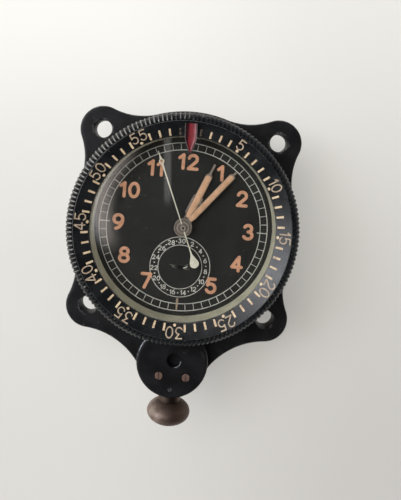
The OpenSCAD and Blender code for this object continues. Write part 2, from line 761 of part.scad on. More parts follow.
// Shoulder screws that the crown wheel and the idler turn on
shoulder_screw_r = 0.8;
wind_thread_r = 0.4;
wind_thread_l = 0.5;
wind_head_r = 1.4;
wind_head_h = 0.25;
module winding_screws() {
    color(steel) for (p = [crown_at, idler_at]) {
        rod(p, shoulder_screw_r, wind_z, plate_z);
        rod(p, wind_thread_r, plate_z - 0.5, plate_z + wind_thread_l - 0.05);
        rod(p, wind_head_r, wind_z - wind_head_h - running, wind_z - running);
        rod(p, shoulder_screw_r, wind_z - wind_head_h, wind_z + 0.2);
    }
}

// Bezel: a turned ring with a coin edge, turning on the neck
function edge_points(n, r, depth) = [
    for (i = [0:n - 1], k = [[0, 0], [0.3, 1], [0.6, 1], [0.9, 0]])
        polar(r - depth * (1 - k[1]), (i + k[0]) * 360 / n)
];
foot_chamfer = 0.6;
edge_step = 0.4;
module bezel() {
    bore = neck_r + 2 * running;
    color([0.07, 0.08, 0.09]) difference() {
        union() {
            turned([
                [bore, bezel_z], [core_r - foot_chamfer, bezel_z], [core_r, bezel_z + foot_chamfer],
                [core_r, edge_high + edge_step], [slope_r + rim_w, bezel_top], [slope_r, bezel_top],
                [opening_r, lip_top], [opening_r, lip_z], [bore, lip_z]
            ]);
            difference() {
                plate(edge_points(edge_teeth, bezel_r, edge_depth), edge_low, edge_high);
                rod(axis_o, core_r - 0.5, edge_low - past, edge_high + past);
            }
        }
        rotate_extrude() translate([ring_r, ring_z]) circle(r = ring_wire_r + running);
    }
}
module bezel_spring_ring() {
    gap_half = 4;
    color(steel) rotate([0, 0, gap_half]) rotate_extrude(angle = 360 - 2 * gap_half)
        translate([ring_r, ring_z]) circle(r = ring_wire_r);
}

// Red marker: a pointed strip over the crystal, with a root that stands on the bezel's slope
module red_marker() {
    half = marker_w / 2;
    taper = 0.45 * (marker_root_r - marker_tip_r);
    cheek = marker_tip_r + 0.35 * taper;
    color([0.55, 0.13, 0.17]) {
        plate([
            [-half, marker_root_r], [-half, marker_root_r - taper], [-half * 0.75, cheek],
            [-half * 0.2, marker_tip_r], [half * 0.2, marker_tip_r], [half * 0.75, cheek],
            [half, marker_root_r - taper], [half, marker_root_r]
        ], marker_z, marker_z + marker_t);
        difference() {
            translate([-half, opening_r + 0.5, lip_top])
                cube([marker_w, marker_root_r - opening_r - 0.5, marker_z - lip_top + marker_t / 2]);
            turned([[opening_r - past, lip_top - past * slope_depth / (slope_r - opening_r)],
                [slope_r, bezel_top], [slope_r, lip_top - 2], [opening_r - past, lip_top - 2]]);
        }
    }
}

// Push sleeve, knob and stem on the stem's axis
module push_sleeve() {
    color([0.2, 0.18, 0.17]) difference() {
        union() {
            stem_rod(collar_r, knob_face - collar_l, knob_face - running);
            stem_rod(sleeve_r, sleeve_end, knob_face - collar_l + 0.1);
        }
        stem_rod(stem_r + running, sleeve_end - past, knob_face + past);
    }
}
module knob() {
    half = knob_l / 2;
    steps = 14;
    color([0.48, 0.40, 0.36]) translate([0, -knob_face - half, stem_z]) rotate([90, 0, 0]) difference() {
        turned(concat(
            [[0, -half], [collar_r, -half]],
            [for (i = [1:steps]) let (a = -65 + 155 * i / steps) [knob_r * cos(a), half * sin(a)]]
        ));
        translate([0, 0, -half - past]) cylinder(r = stem_r + slip, h = half + past);
    }
}
module winding_stem() {
    color(steel) {
        stem_rod(stem_r, square_end, knob_face + knob_l / 2 - 0.1);
        translate([-square_w / 2, -square_end - 0.2, stem_z - square_w / 2])
            cube([square_w, square_end + 0.2 - stem_tip, square_w]);
    }
}
// Spring behind the sleeve: a round wire wound round the stem
coil_sides = 6;
coil_rings = 10;
coil_wire_r = 0.2;
coil_r = (chamber_r + stem_r) / 2;
module knob_spring() {
    rings = knob_spring_coils * coil_rings;
    length = sleeve_end - chamber_end - 2 * coil_wire_r - 0.1;
    pitch = length / knob_spring_coils;
    echo(knob_spring_gap = pitch - 2 * coil_wire_r);
    points = [
        for (i = [0:rings], s = [0:coil_sides - 1])
            let (q = coil_r + coil_wire_r * cos(s * 360 / coil_sides), a = i * 360 / coil_rings)
            [q * cos(a), q * sin(a), i * pitch / coil_rings + coil_wire_r * sin(s * 360 / coil_sides)]
    ];
    sides = [
        for (i = [0:rings - 1], s = [0:coil_sides - 1])
            let (a = i * coil_sides + s, b = i * coil_sides + (s + 1) % coil_sides)
            each [[a, a + coil_sides, b], [b, a + coil_sides, b + coil_sides]]
    ];
    last = rings * coil_sides;
    ends = [
        for (s = [1:coil_sides - 2]) each [[0, s, s + 1], [last, last + s + 1, last + s]]
    ];
    color(steel) translate([0, -chamber_end - coil_wire_r - 0.05, stem_z]) rotate([90, 0, 0])
        polyhedron(points, concat(sides, ends));
}

// Winding work behind the main plate
module winding_pinion() {
    phase = -90 + 180 / wind_pinion_n;
    hole_w = square_w + 2 * running;
    color(steel) translate([0, -stem_tip - 0.4, stem_z]) rotate([90, 0, 0]) difference() {
        pinion(wind_pinion_n, wind_pinion_m, phase, 0, face_w);
        translate([-hole_w / 2, -hole_w / 2, -past]) cube([hole_w, hole_w, face_w + 2 * past]);
    }
}
module crown_wheel() {
    phase = 90;
    tooth_w = 0.4;
    tooth_low = wind_z + wind_t / 2;
    tooth_high = stem_z - wind_pinion_n * wind_pinion_m / 2 + 0.2;
    color(steel) translate([crown_at.x, crown_at.y, 0]) difference() {
        union() {
            spur(crown_n, wind_m, 0, wind_z, wind_z + wind_t);
            rod(axis_o, wind_hub_r, wind_z, plate_z - 2 * running);
            for (i = [0:face_n - 1]) rotate([0, 0, phase + i * 360 / face_n])
                translate([face_r - face_w / 2, -tooth_w / 2, tooth_low])
                    cube([face_w, tooth_w, tooth_high - tooth_low]);
        }
        rod(axis_o, shoulder_screw_r + running, wind_z - past, plate_z + past);
    }
}
crown_phase = 0;
wind_hub_r = 1.5;
idler_phase = mesh_phase(heading(crown_at, idler_at), crown_phase, crown_n, idler_n);
ratchet_phase = mesh_phase(heading(idler_at, barrel_at), idler_phase, idler_n, ratchet_n);
module winding_idler() {
    color(steel) translate([idler_at.x, idler_at.y, 0]) difference() {
        union() {
            spur(idler_n, wind_m, idler_phase, wind_z, wind_z + wind_t);
            rod(axis_o, wind_hub_r, wind_z, plate_z - 2 * running);
        }
        rod(axis_o, shoulder_screw_r + running, wind_z - past, plate_z + past);
    }
}
barrel_pivot_r = 1;
barrel_pivot_l = 1.2;
arbor_core_r = 1.4;
module ratchet_wheel() {
    color(steel) translate([barrel_at.x, barrel_at.y, 0]) difference() {
        spur(ratchet_n, wind_m, ratchet_phase, wind_z, wind_z + wind_t);
        rod(axis_o, barrel_pivot_r + slip, wind_z - past, wind_z + 2);
        windows(6, 4.4, 1.3, wind_z, wind_z + wind_t);
    }
}
module barrel_arbor() {
    color(steel) translate([barrel_at.x, barrel_at.y, 0]) {
        rod(axis_o, barrel_pivot_r, bridge_z - barrel_pivot_l, plate_z + barrel_pivot_l);
        rod(axis_o, arbor_core_r, barrel_low - 0.4, wind_z - 0.02);
    }
}
// Click and its blade spring, which bears on the back of the click's arm
click_pin_r = 0.5;
click_pin_l = 0.8;
click_aim = heading(click_at, barrel_at) + 35;
module click() {
    color(steel) translate([click_at.x, click_at.y, 0]) {
        rod(axis_o, 1, wind_z, wind_z + wind_t);
        rod(axis_o, click_pin_r - running, wind_z, plate_z + click_pin_l);
        plate([polar(0.9, click_aim + 90), polar(0.9, click_aim - 90), polar(2.6, click_aim - 12),
            polar(2.7, click_aim + 4)], wind_z, wind_z + wind_t);
    }
}
module click_spring() {
    foot = click_at + polar(4.2, click_aim + 80);
    touch = click_at + polar(2.3, click_aim + 16);
    color(steel) translate([foot.x, foot.y, 0]) {
        rod(axis_o, 0.5, wind_z, plate_z);
        rotate([0, 0, heading(foot, touch)]) translate([0, -0.12, wind_z + 0.1])
            cube([norm(touch - foot), 0.24, wind_t - 0.2]);
    }
}

// Barrel: drum with teeth, cover and mainspring
barrel_phase = 0;
drum_r = barrel_n * barrel_m / 2 - 0.9;
drum_wall = 0.6;
drum_floor = 0.7;
tooth_h = 1;
module barrel_drum() {
    color(brass) translate([barrel_at.x, barrel_at.y, 0]) difference() {
        union() {
            toothed(barrel_n, barrel_m, barrel_phase, barrel_top - tooth_h, barrel_top);
            rod(axis_o, drum_r, barrel_low, barrel_top - 0.1);
        }
        rod(axis_o, drum_r - drum_wall, barrel_low - past, barrel_top - drum_floor);
        rod(axis_o, arbor_core_r + running, barrel_low - past, barrel_top + past);
    }
}
module barrel_cover() {
    color(brass) translate([barrel_at.x, barrel_at.y, 0])
        ring(arbor_core_r + running, drum_r - drum_wall - slip, barrel_low, barrel_low + 0.5);
}
module mainspring() {
    color([0.35, 0.37, 0.42]) translate([barrel_at.x, barrel_at.y, 0])
        plate(spiral_strip(arbor_core_r + 0.35, drum_r - drum_wall - 0.2, mainspring_turns, 0.3),
            barrel_low + 0.7, barrel_top - drum_floor - 0.2);
}

// Going train: a pinion's leaves run a little past the wheel that drives them
leaf_extra = 0.3;
centre_pinion_phase = mesh_phase(heading(barrel_at, axis_o), barrel_phase, barrel_n, centre_pinion_n);
centre_wheel_z = plate_z - 6.8;
third_wheel_z = plate_z - 4.6;
fourth_wheel_z = plate_z - 2.6;
escape_wheel_z = plate_z - 3.9;
third_phase = mesh_phase(third_dir, 0, centre_n, third_pinion_n);
fourth_phase = mesh_phase(fourth_dir, 0, third_n, fourth_pinion_n);
escape_phase = mesh_phase(escape_dir, 0, fourth_n, escape_pinion_n);
module center_wheel() {
    color(brass) difference() {
        union() {
            toothed(centre_n, centre_m, 0, centre_wheel_z, centre_wheel_z + wheel_t);
            pinion(centre_pinion_n, barrel_m, centre_pinion_phase,
                barrel_top - tooth_h - 0.1, barrel_top + 0.1);
            rod(axis_o, 1.2, centre_wheel_z - 0.3, barrel_top - tooth_h);
            rod(axis_o, centre_tube_r, bridge_low + 0.2, minute_z + 0.4);
        }
        rod(axis_o, centre_tube_in, bridge_low - past, minute_z + 2);
        windows(5, 4.6, 1.5, centre_wheel_z, centre_wheel_z + wheel_t);
    }
}
module third_wheel() {
    color(brass) translate([third_at.x, third_at.y, 0]) difference() {
        union() {
            toothed(third_n, third_m, 0, third_wheel_z, third_wheel_z + wheel_t);
            pinion(third_pinion_n, centre_m, third_phase,
                centre_wheel_z - leaf_extra, centre_wheel_z + wheel_t + leaf_extra);
            arbor();
        }
        windows(5, 3.6, 1.4, third_wheel_z, third_wheel_z + wheel_t);
    }
}
module fourth_wheel() {
    color(brass) translate([fourth_at.x, fourth_at.y, 0]) difference() {
        union() {
            toothed(fourth_n, fourth_m, 0, fourth_wheel_z, fourth_wheel_z + wheel_t);
            pinion(fourth_pinion_n, third_m, fourth_phase,
                third_wheel_z - leaf_extra, third_wheel_z + wheel_t + leaf_extra);
            arbor();
        }
        windows(5, 3.4, 1.3, fourth_wheel_z, fourth_wheel_z + wheel_t);
    }
}
escape_teeth = 15;
escape_arbor_r = 0.45;
escape_points = [
    for (i = [0:escape_teeth - 1], k = [[0, 1], [0.12, 1], [0.5, 0.76]])
        polar(escape_r * k[1], (i + k[0]) * 360 / escape_teeth)
];
module escape_wheel() {
    color(steel) translate([escape_at.x, escape_at.y, 0]) difference() {
        union() {
            plate(escape_points, escape_wheel_z, escape_wheel_z + wheel_t);
            pinion(escape_pinion_n, fourth_m, escape_phase,
                fourth_wheel_z - leaf_extra, fourth_wheel_z + wheel_t + leaf_extra);
            rod(axis_o, escape_arbor_r, bridge_z + running, plate_z - running);
            rod(axis_o, pivot_r, bridge_z - pivot_in, plate_z + pivot_in);
        }
        windows(4, 1.5, 0.55, escape_wheel_z, escape_wheel_z + wheel_t);
    }
}
// Pallet fork: two arms with stones beside the escape wheel, and a fork towards the balance
module pallet_fork() {
    arm = 2.9;
    spread = 62;
    up = heading(pallet_at, escape_at);
    down = heading(pallet_at, balance_at);
    fork = norm(balance_at - pallet_at) - 1.9;
    color(steel) translate([pallet_at.x, pallet_at.y, 0]) {
        arbor();
        for (s = [-1, 1]) {
            plate([polar(0.5, up + s * spread + 90), polar(0.5, up + s * spread - 90),
                polar(arm, up + s * spread - 8), polar(arm, up + s * spread + 8)],
                escape_wheel_z, escape_wheel_z + wheel_t);
            plate([polar(arm - 0.4, up + s * (spread - 10)), polar(arm + 0.3, up + s * (spread - 8)),
                polar(arm + 0.2, up + s * (spread + 4)), polar(arm - 0.4, up + s * (spread + 4))],
                escape_wheel_z - 0.1, escape_wheel_z + wheel_t + 0.1);
        }
        plate([polar(0.5, down + 90), polar(0.5, down - 90), polar(fork - 0.8, down - 3),
            polar(fork - 0.8, down + 3)], escape_wheel_z, escape_wheel_z + wheel_t);
        for (s = [-1, 1])
            plate([polar(fork - 0.9, down), polar(fork - 0.9, down + s * 5), polar(fork, down + s * 8),
                polar(fork, down + s * 4)], escape_wheel_z, escape_wheel_z + wheel_t);
    }
}

// Balance: rim on three spokes, staff, roller and the spring's collet
balance_z = plate_z - 6.2;
balance_h = 0.8;
spring_z = balance_z - 0.9;
roller_r = 1.5;
roller_pin_at = 1.15;
roller_pin_r = 0.22;
module balance_wheel() {
    rim_t = 0.9;
    color(brass) translate([balance_at.x, balance_at.y, 0]) {
        ring(balance_r - rim_t, balance_r, balance_z, balance_z + balance_h);
        for (a = [30, 150, 270]) rotate([0, 0, a]) translate([0, -0.45, balance_z + 0.15])
            cube([balance_r - rim_t / 2, 0.9, balance_h - 0.3]);
        rod(axis_o, 1.3, balance_z, balance_z + balance_h);
        rod(axis_o, 0.9, spring_z, balance_z + 0.1);
        rod(axis_o, arbor_r, cock_top + running, plate_z - running);
        rod(axis_o, pivot_r, cock_top - pivot_in, plate_z + pivot_in);
        rod(axis_o, roller_r, escape_wheel_z - 0.9, escape_wheel_z - 0.5);
        rod(polar(roller_pin_at, heading(balance_at, pallet_at)), roller_pin_r,
            escape_wheel_z - 0.6, escape_wheel_z + wheel_t);
    }
}
module hairspring() {
    color([0.30, 0.34, 0.45]) translate([balance_at.x, balance_at.y, 0]) {
        plate(spiral_strip(1.1, 3.1, hairspring_turns, 0.1), spring_z + 0.1, balance_z - 0.2);
        rod(polar(3.1, 0), 0.18, cock_top, balance_z - 0.2);
    }
}

// Motion work in front of the main plate, and the hands
cannon_z = plate_top + 0.4;
cannon_h = 0.8;
hour_wheel_z = plate_top + 1.6;
stud_r = 0.5;
stud_l = 1.4;
cannon_phase = 0;
minute_phase = mesh_phase(minute_dir, cannon_phase, cannon_n, minute_n);
hour_phase = mesh_phase(minute_dir + 180, 0, minute_pinion_n, hour_n);
module cannon_pinion() {
    color(steel) difference() {
        union() {
            pinion(cannon_n, cannon_m, cannon_phase, cannon_z, cannon_z + cannon_h);
            rod(axis_o, cannon_tube_r, plate_top + 0.1, minute_z + 0.45);
        }
        rod(axis_o, cannon_in, plate_top - past, minute_z + past);
    }
}
module minute_wheel() {
    color(brass) translate([minute_at.x, minute_at.y, 0]) {
        difference() {
            union() {
                toothed(minute_n, cannon_m, minute_phase, cannon_z + 0.1, cannon_z + 0.6);
                pinion(minute_pinion_n, hour_m, 0, cannon_z + 0.5, hour_wheel_z + 0.7);
            }
            windows(4, 3.1, 1, cannon_z, cannon_z + 0.4);
        }
        rod(axis_o, stud_r - running, plate_top - stud_l, cannon_z + 0.3);
    }
}
module hour_wheel() {
    color(brass) difference() {
        union() {
            toothed(hour_n, hour_m, hour_phase, hour_wheel_z, hour_wheel_z + 0.5);
            rod(axis_o, hour_tube_r, hour_wheel_z, hour_z + 0.35);
        }
        rod(axis_o, hour_tube_in, hour_wheel_z - past, hour_z + past);
        windows(5, 3.4, 1, hour_wheel_z, hour_wheel_z + 0.5);
    }
}
// Outline of a hand from its half widths: pairs of distance from the axis and half width
function hand_points(half, angle) = [
    for (p = concat(
        [for (q = half) [-q[1], q[0]]],
        [for (i = [len(half) - 1:-1:0]) [half[i][1], half[i][0]]]
    )) turn_point(p, -angle)
];
function turn_point(p, a) = [p.x * cos(a) - p.y * sin(a), p.x * sin(a) + p.y * cos(a)];
needle_half = 0.28;
hour_len = ring_in - hour_gap;
minute_len = ring_in - minute_gap;
sweep_len = ring_in - sweep_gap;
hour_body_end = hour_len - 3.2;
hour_step = 8.4;
hour_narrow = hour_half_w - 0.4;
lume_margin = 0.12;
module hour_hand() {
    color(nickel) difference() {
        union() {
            rod(axis_o, boss_r, hour_z - 0.2, hour_z - 0.2 + boss_h);
            plate(hand_points([[1.2, 0.9], [3.2, 0.9], [3.7, hour_half_w], [hour_step, hour_half_w],
                [hour_step + 0.2, hour_narrow], [hour_body_end, hour_narrow],
                [hour_body_end + 0.6, needle_half], [hour_len, needle_half]], hour_angle),
                hour_z, hour_z + blade_t);
        }
        rod(axis_o, hour_tube_r + slip, hour_z - past, hour_z + 2);
    }
}
module hour_lume() {
    half = hour_narrow - lume_margin;
    color(lume_tan) plate(hand_points([[boss_r + 0.5, half * 0.7], [boss_r + 1.5, half],
        [hour_body_end - 0.4, half], [hour_body_end, half * 0.5]], hour_angle),
        hour_z + blade_t, hour_z + blade_t + lume_t);
}
minute_body_end = minute_len - 0.9;
module minute_hand() {
    color(nickel) difference() {
        union() {
            rod(axis_o, boss_r, minute_z - 0.2, minute_z - 0.2 + boss_h);
            plate(hand_points([[1, 0.6], [3, 0.6], [3.5, minute_half_w],
                [minute_body_end - 0.3, minute_half_w], [minute_body_end, needle_half],
                [minute_len, needle_half * 0.8]], minute_angle),
                minute_z, minute_z + blade_t);
        }
        rod(axis_o, cannon_tube_r + slip, minute_z - past, minute_z + 2);
    }
}
module minute_lume() {
    half = minute_half_w - lume_margin;
    color(lume_tan) plate(hand_points([[boss_r + 0.3, half * 0.7], [boss_r + 1.1, half],
        [minute_body_end - 0.7, half], [minute_body_end - 0.4, half * 0.5]], minute_angle),
        minute_z + blade_t, minute_z + blade_t + lume_t);
}
eye_r = sweep_len - 2.7;
eye_out = 0.65;
eye_in = 0.38;
sweep_t = 0.2;
module chrono_hand() {
    eye_at = turn_point([0, eye_r], -sweep_angle);
    pear_half = 1.15;
    pear_mid = tail_len - pear_half;
    tail = sweep_angle + 180;
    pear_at = turn_point([0, pear_mid], -tail);
    color(bone) difference() {
        union() {
            rod(axis_o, sweep_boss_r, sweep_z - 0.2, sweep_z + 0.4);
            plate(hand_points([[0, 0.18], [eye_r - 2.4, 0.25], [eye_r - 0.4, 0.42], [eye_r + 0.4, 0.42],
                [eye_r + 1.2, 0.2], [sweep_len, 0.06]], sweep_angle), sweep_z, sweep_z + sweep_t);
            rod(eye_at, eye_out, sweep_z, sweep_z + sweep_t);
            plate(hand_points([[0, 0.3], [tail_len * 0.5, 0.16], [tail_len * 0.65, 0.3],
                [pear_mid - 0.3, pear_half * 0.97], [pear_mid + 0.3, pear_half * 0.9]], tail),
                sweep_z, sweep_z + sweep_t);
            rod(pear_at, pear_half, sweep_z, sweep_z + sweep_t);
        }
        rod(eye_at, eye_in, sweep_z - past, sweep_z + past);
        rod(axis_o, sweep_arbor_r + slip, sweep_z - past, sweep_z + 0.3);
    }
}

// Chronograph work behind the train bridge
chrono_pivot_r = 0.35;
runner_z = bridge_low - 1.2;
count_idler_z = bridge_low - 2.2;
counter_wheel_z = bridge_low - 3.6;
heart_z = bridge_low - 5;
heart_t = 0.6;
chrono_phase = 0;
runner_n = 72;
runner_m = 0.18;
count_idler_phase = mesh_phase(heading(axis_o, count_idler_at), chrono_phase,
    chrono_pinion_n, count_idler_n);
counter_phase = mesh_phase(heading(count_idler_at, counter_at), 0, count_pinion_n, counter_n);
// Heart cam: a closed curve that is nearest the axis at its notch and furthest opposite
function heart_points(near, far) = [
    for (i = [0:23]) let (a = i * 15, t = a > 180 ? 360 - a : a) polar(near + (far - near) * t / 180, a)
];
module chrono_runner() {
    color(steel) difference() {
        union() {
            rod(axis_o, sweep_arbor_r, chrono_z - 0.7, sweep_z + 0.25);
            toothed(runner_n, runner_m, 0, runner_z, runner_z + wheel_t);
            pinion(chrono_pinion_n, chrono_m, chrono_phase, count_idler_z - 0.2, runner_z + 0.1);
            rod(axis_o, 0.7, heart_z, bridge_low - 0.1);
            plate(heart_points(0.8, 1.8), heart_z, heart_z + heart_t);
        }
        windows(5, 4, 1.2, runner_z, runner_z + wheel_t);
    }
}
module counter_idler() {
    color(steel) translate([count_idler_at.x, count_idler_at.y, 0]) difference() {
        union() {
            toothed(count_idler_n, chrono_m, count_idler_phase, count_idler_z, count_idler_z + wheel_t);
            pinion(count_pinion_n, counter_m, 0, counter_wheel_z - 0.2, count_idler_z + 0.1);
            rod(axis_o, arbor_r, chrono_z + running, bridge_low - running);
            rod(axis_o, chrono_pivot_r, chrono_z - 0.7, bridge_low + 0.7);
        }
        windows(5, 3.4, 1.1, count_idler_z, count_idler_z + wheel_t);
    }
}
counter_arbor_r = 0.4;
counter_post_r = 0.3;
module counter_wheel() {
    color(steel) translate([counter_at.x, counter_at.y, 0]) difference() {
        union() {
            toothed(counter_n, counter_m, counter_phase, counter_wheel_z, counter_wheel_z + wheel_t);
            rod(axis_o, counter_arbor_r, chrono_z + running, dial_z - dial_t - 0.4);
            rod(axis_o, counter_post_r, chrono_z - 0.7, dial_z + 0.25);
            rod(axis_o, 0.7, heart_z, bridge_low - 0.1);
            plate(heart_points(0.8, 1.8), heart_z, heart_z + heart_t);
        }
        windows(5, 3.4, 1.1, counter_wheel_z, counter_wheel_z + wheel_t);
    }
}
// What is left of the counter's hand: its collet and a short bent stub
module counter_hand() {
    color(steel) translate([counter_at.x, counter_at.y, 0]) difference() {
        union() {
            rod(axis_o, 0.62, dial_z + 0.1, dial_z + 0.38);
            plate([[0.3, -0.16], [1.3, 0.05], [1.8, 0.4], [1.9, 0.28], [1.5, -0.12], [0.3, -0.4]],
                dial_z + 0.15, dial_z + 0.33);
        }
        rod(axis_o, counter_post_r + slip, dial_z - past, dial_z + 0.3);
    }
}
// Reset hammer: a two-armed lever that stands clear of both heart cams
hammer_pin_r = 0.5;
module reset_hammer() {
    clear = 3;
    color(steel) translate([hammer_at.x, hammer_at.y, 0]) {
        rod(axis_o, 1.2, heart_z, heart_z + heart_t);
        rod(axis_o, hammer_pin_r - running, chrono_z - 0.7, heart_z + heart_t);
        for (target = [axis_o, counter_at]) {
            aim = heading(hammer_at, target);
            reach = norm(target - hammer_at) - clear;
            plate([polar(0.8, aim + 90), polar(0.8, aim - 90), [reach * cos(aim), reach * sin(aim)]
                + polar(0.5, aim - 90), [reach * cos(aim), reach * sin(aim)] + polar(0.5, aim + 90)],
                heart_z, heart_z + heart_t);
        }
    }
}

case_body();
case_back();
back_gasket();
back_screws();
stem_housing();
housing_screws();
sleeve_set_screw();
crystal();
crystal_seal();
wall_ring();
dial();
dial_spacer();
mainplate();
plate_screws();
train_bridge();
bridge_pillars();
movement_screws();
balance_cock();
chrono_bridge();
chrono_pillars();
winding_screws();
click_spring();
hairspring();
knob_spring();
bezel();
red_marker();
bezel_spring_ring();
push_sleeve();
knob();
winding_stem();
winding_pinion();
crown_wheel();
winding_idler();
ratchet_wheel();
barrel_arbor();
click();
barrel_drum();
barrel_cover();
mainspring();
center_wheel();
third_wheel();
fourth_wheel();
escape_wheel();
pallet_fork();
balance_wheel();
cannon_pinion();
minute_hand();
minute_lume();
minute_wheel();
hour_wheel();
hour_hand();
hour_lume();
chrono_runner();
chrono_hand();
counter_idler();
counter_wheel();
counter_hand();
reset_hammer();
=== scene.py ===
import json
import math

import bpy
import numpy as np
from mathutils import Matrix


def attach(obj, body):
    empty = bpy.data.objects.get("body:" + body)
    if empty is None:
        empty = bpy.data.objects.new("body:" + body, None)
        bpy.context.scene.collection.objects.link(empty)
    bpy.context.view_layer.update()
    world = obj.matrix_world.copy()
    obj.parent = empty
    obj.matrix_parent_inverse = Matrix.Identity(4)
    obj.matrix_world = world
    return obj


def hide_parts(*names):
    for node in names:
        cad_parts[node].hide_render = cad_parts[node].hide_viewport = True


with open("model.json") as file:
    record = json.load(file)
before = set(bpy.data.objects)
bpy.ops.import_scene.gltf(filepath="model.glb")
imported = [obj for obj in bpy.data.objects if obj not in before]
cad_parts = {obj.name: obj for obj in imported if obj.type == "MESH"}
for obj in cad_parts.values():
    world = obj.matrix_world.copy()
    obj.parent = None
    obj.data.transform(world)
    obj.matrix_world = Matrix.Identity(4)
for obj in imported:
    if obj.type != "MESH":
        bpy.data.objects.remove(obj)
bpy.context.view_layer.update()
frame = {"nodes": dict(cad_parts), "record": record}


# The case: one light-alloy casting with a flange of four lugs and a chin, the drum that goes through the panel,
# the seat that the bezel turns on and the neck round the crystal. It is painted satin black and has rubbed edges.
MM = 0.001
LUG, LUG_R, LUG_HOLE = 23.0, 6.0, 2.3
CHIN, CHIN_R = 34.2, 9.4
STEM_Z, STEM_END = 5.6, 43.9
FLANGE, FLANGE_R = 4.4, 29.4
HOLLOW, CHIN_HOLLOW = 17.0, 19.5
EDGE_TOP, EDGE_LOW = 0.55, 0.35
DRUM_R, DRUM_END = 27.1, -13.7
NECK_R, NECK_BORE, NECK_TOP = 24.4, 22.95, 15.3
SEAT_R, SEAT_Z = 27.8, 7.0
RING_GROOVE, GROOVE_R = (24.45, 11.4), 0.45


def skin(grid, wrap_rows=False, wrap_cols=True):
    """Points and faces of surfaces given as grids: copies x rows x columns x xyz, in mm; one copy may drop the first.

    Each cell is a face; wrap_rows and wrap_cols join the last row or column to the first. Points of a copy that fall
    together, as at a pole, become one, and a face that loses a corner becomes a triangle. The sign of the volume
    under the faces tells which way they look, and they are turned outwards."""
    grid = np.asarray(grid, float)
    grid = grid.reshape((-1,) + grid.shape[-3:])
    copies, rows, cols = grid.shape[:3]
    index = np.arange(copies * rows * cols).reshape(copies, rows, cols)
    index = np.pad(index, ((0, 0), (0, wrap_rows), (0, wrap_cols)), "wrap")
    cells = [index[:, :-1, :-1], index[:, 1:, :-1], index[:, 1:, 1:], index[:, :-1, 1:]]
    faces = np.stack(cells, -1).reshape(-1, 4)
    points = grid.reshape(-1, 3)
    copy = np.repeat(np.arange(copies), rows * cols)
    place = np.column_stack([copy, np.round(points * 1e4).astype(np.int64)])
    first, same = np.unique(place, axis=0, return_index=True, return_inverse=True)[1:]
    points, faces = points[first], same.reshape(-1)[faces]
    twin = faces == np.roll(faces, -1, 1)
    fours = faces[twin.sum(1) == 0]
    threes, lost = faces[twin.sum(1) == 1], twin[twin.sum(1) == 1].argmax(1)
    threes = np.take_along_axis(threes, (lost[:, None] + np.array([1, 2, 3])) % 4, 1)
    corners = np.concatenate([fours[:, :3], fours[:, [0, 2, 3]], threes])
    a, b, c = (points[corners[:, k]] for k in range(3))
    if (a * np.cross(b, c)).sum() < 0:
        fours, threes = fours[:, ::-1], threes[:, ::-1]
    return points, fours, threes


def piece(name, shapes, look, body="case", stands_for=(), crease=32):
    """One object at the origin from skins or grids, smooth up to the crease angle, riding on a body of the frame."""
    skins = [s if isinstance(s, tuple) else skin(s) for s in shapes]
    offsets = np.cumsum([0] + [len(points) for points, _, _ in skins])
    points = np.concatenate([s[0] for s in skins]) * MM
    fours, threes = (np.concatenate([s[n] + k for s, k in zip(skins, offsets)]) for n in (1, 2))
    starts = np.concatenate([4 * np.arange(len(fours)), 4 * len(fours) + 3 * np.arange(len(threes))])
    mesh = bpy.data.meshes.new(name)
    mesh.vertices.add(len(points))
    mesh.vertices.foreach_set("co", points.ravel())
    mesh.loops.add(fours.size + threes.size)
    mesh.loops.foreach_set("vertex_index", np.concatenate([fours.ravel(), threes.ravel()]).astype(np.int32))
    mesh.polygons.add(len(starts))
    mesh.polygons.foreach_set("loop_start", starts.astype(np.int32))
    mesh.update(calc_edges=True)
    return dressed(name, mesh, look, body, stands_for, crease)


def placed(name, data):
    """A new object of the scene, at the origin."""
    made = bpy.data.objects.new(name, data)
    bpy.context.scene.collection.objects.link(made)
    return made


def dressed(name, mesh, look, body, stands_for, crease):
    """A new object with its finish, shading, body, material slot and the solids that it stands for."""
    mesh.polygons.foreach_set("use_smooth", np.ones(len(mesh.polygons), bool))
    mesh.set_sharp_from_angle(angle=math.radians(crease))
    mesh.materials.append(look)
    made = placed(name, mesh)
    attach(made, body)
    if stands_for:
        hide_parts(*stands_for)
    return made


def bored(name, shapes, cutters, look, stands_for, crease=32):
    """One object of the case: its shapes with the cutters' solids taken away, by an exact Boolean."""
    blank, tool = (piece("blank", s, None) for s in (shapes, cutters))
    cut = blank.modifiers.new("bores", "BOOLEAN")
    cut.operation, cut.solver, cut.object, cut.use_self = "DIFFERENCE", "EXACT", tool, True
    bpy.context.view_layer.update()
    mesh = bpy.data.meshes.new_from_object(blank.evaluated_get(bpy.context.evaluated_depsgraph_get()))
    for used in (blank, tool):
        bpy.data.objects.remove(used)
    mesh.materials.clear()
    mesh.name = name
    return dressed(name, mesh, look, "case", [stands_for], crease)


def turned(profile, steps=180, at=(0.0, 0.0)):
    """Grid of a turned shape: the profile's points (radius, height) are carried once round an upright axis."""
    turn = np.arange(steps) * 2 * np.pi / steps
    r, z = np.asarray(profile, float).T[:, :, None]
    return np.stack([at[0] + r * np.cos(turn), at[1] + r * np.sin(turn), z + 0 * turn], -1)


def laid(grid):
    """Turns an upright grid so that its axis is the stem's: height runs towards the knob, along -y."""
    x, y, z = np.moveaxis(grid, -1, 0)
    return np.stack([x, -z, y + STEM_Z], -1)


def levels(outlines, heights):
    """Grid of flat outlines (rows x points x xy), each row at its own height."""
    return np.concatenate([outlines, np.broadcast_to(heights[:, None, None], outlines.shape[:2] + (1,))], 2)


def unit(ways):
    """Directions of length 1."""
    return ways / np.maximum(np.linalg.norm(ways, axis=-1, keepdims=True), 1e-9)


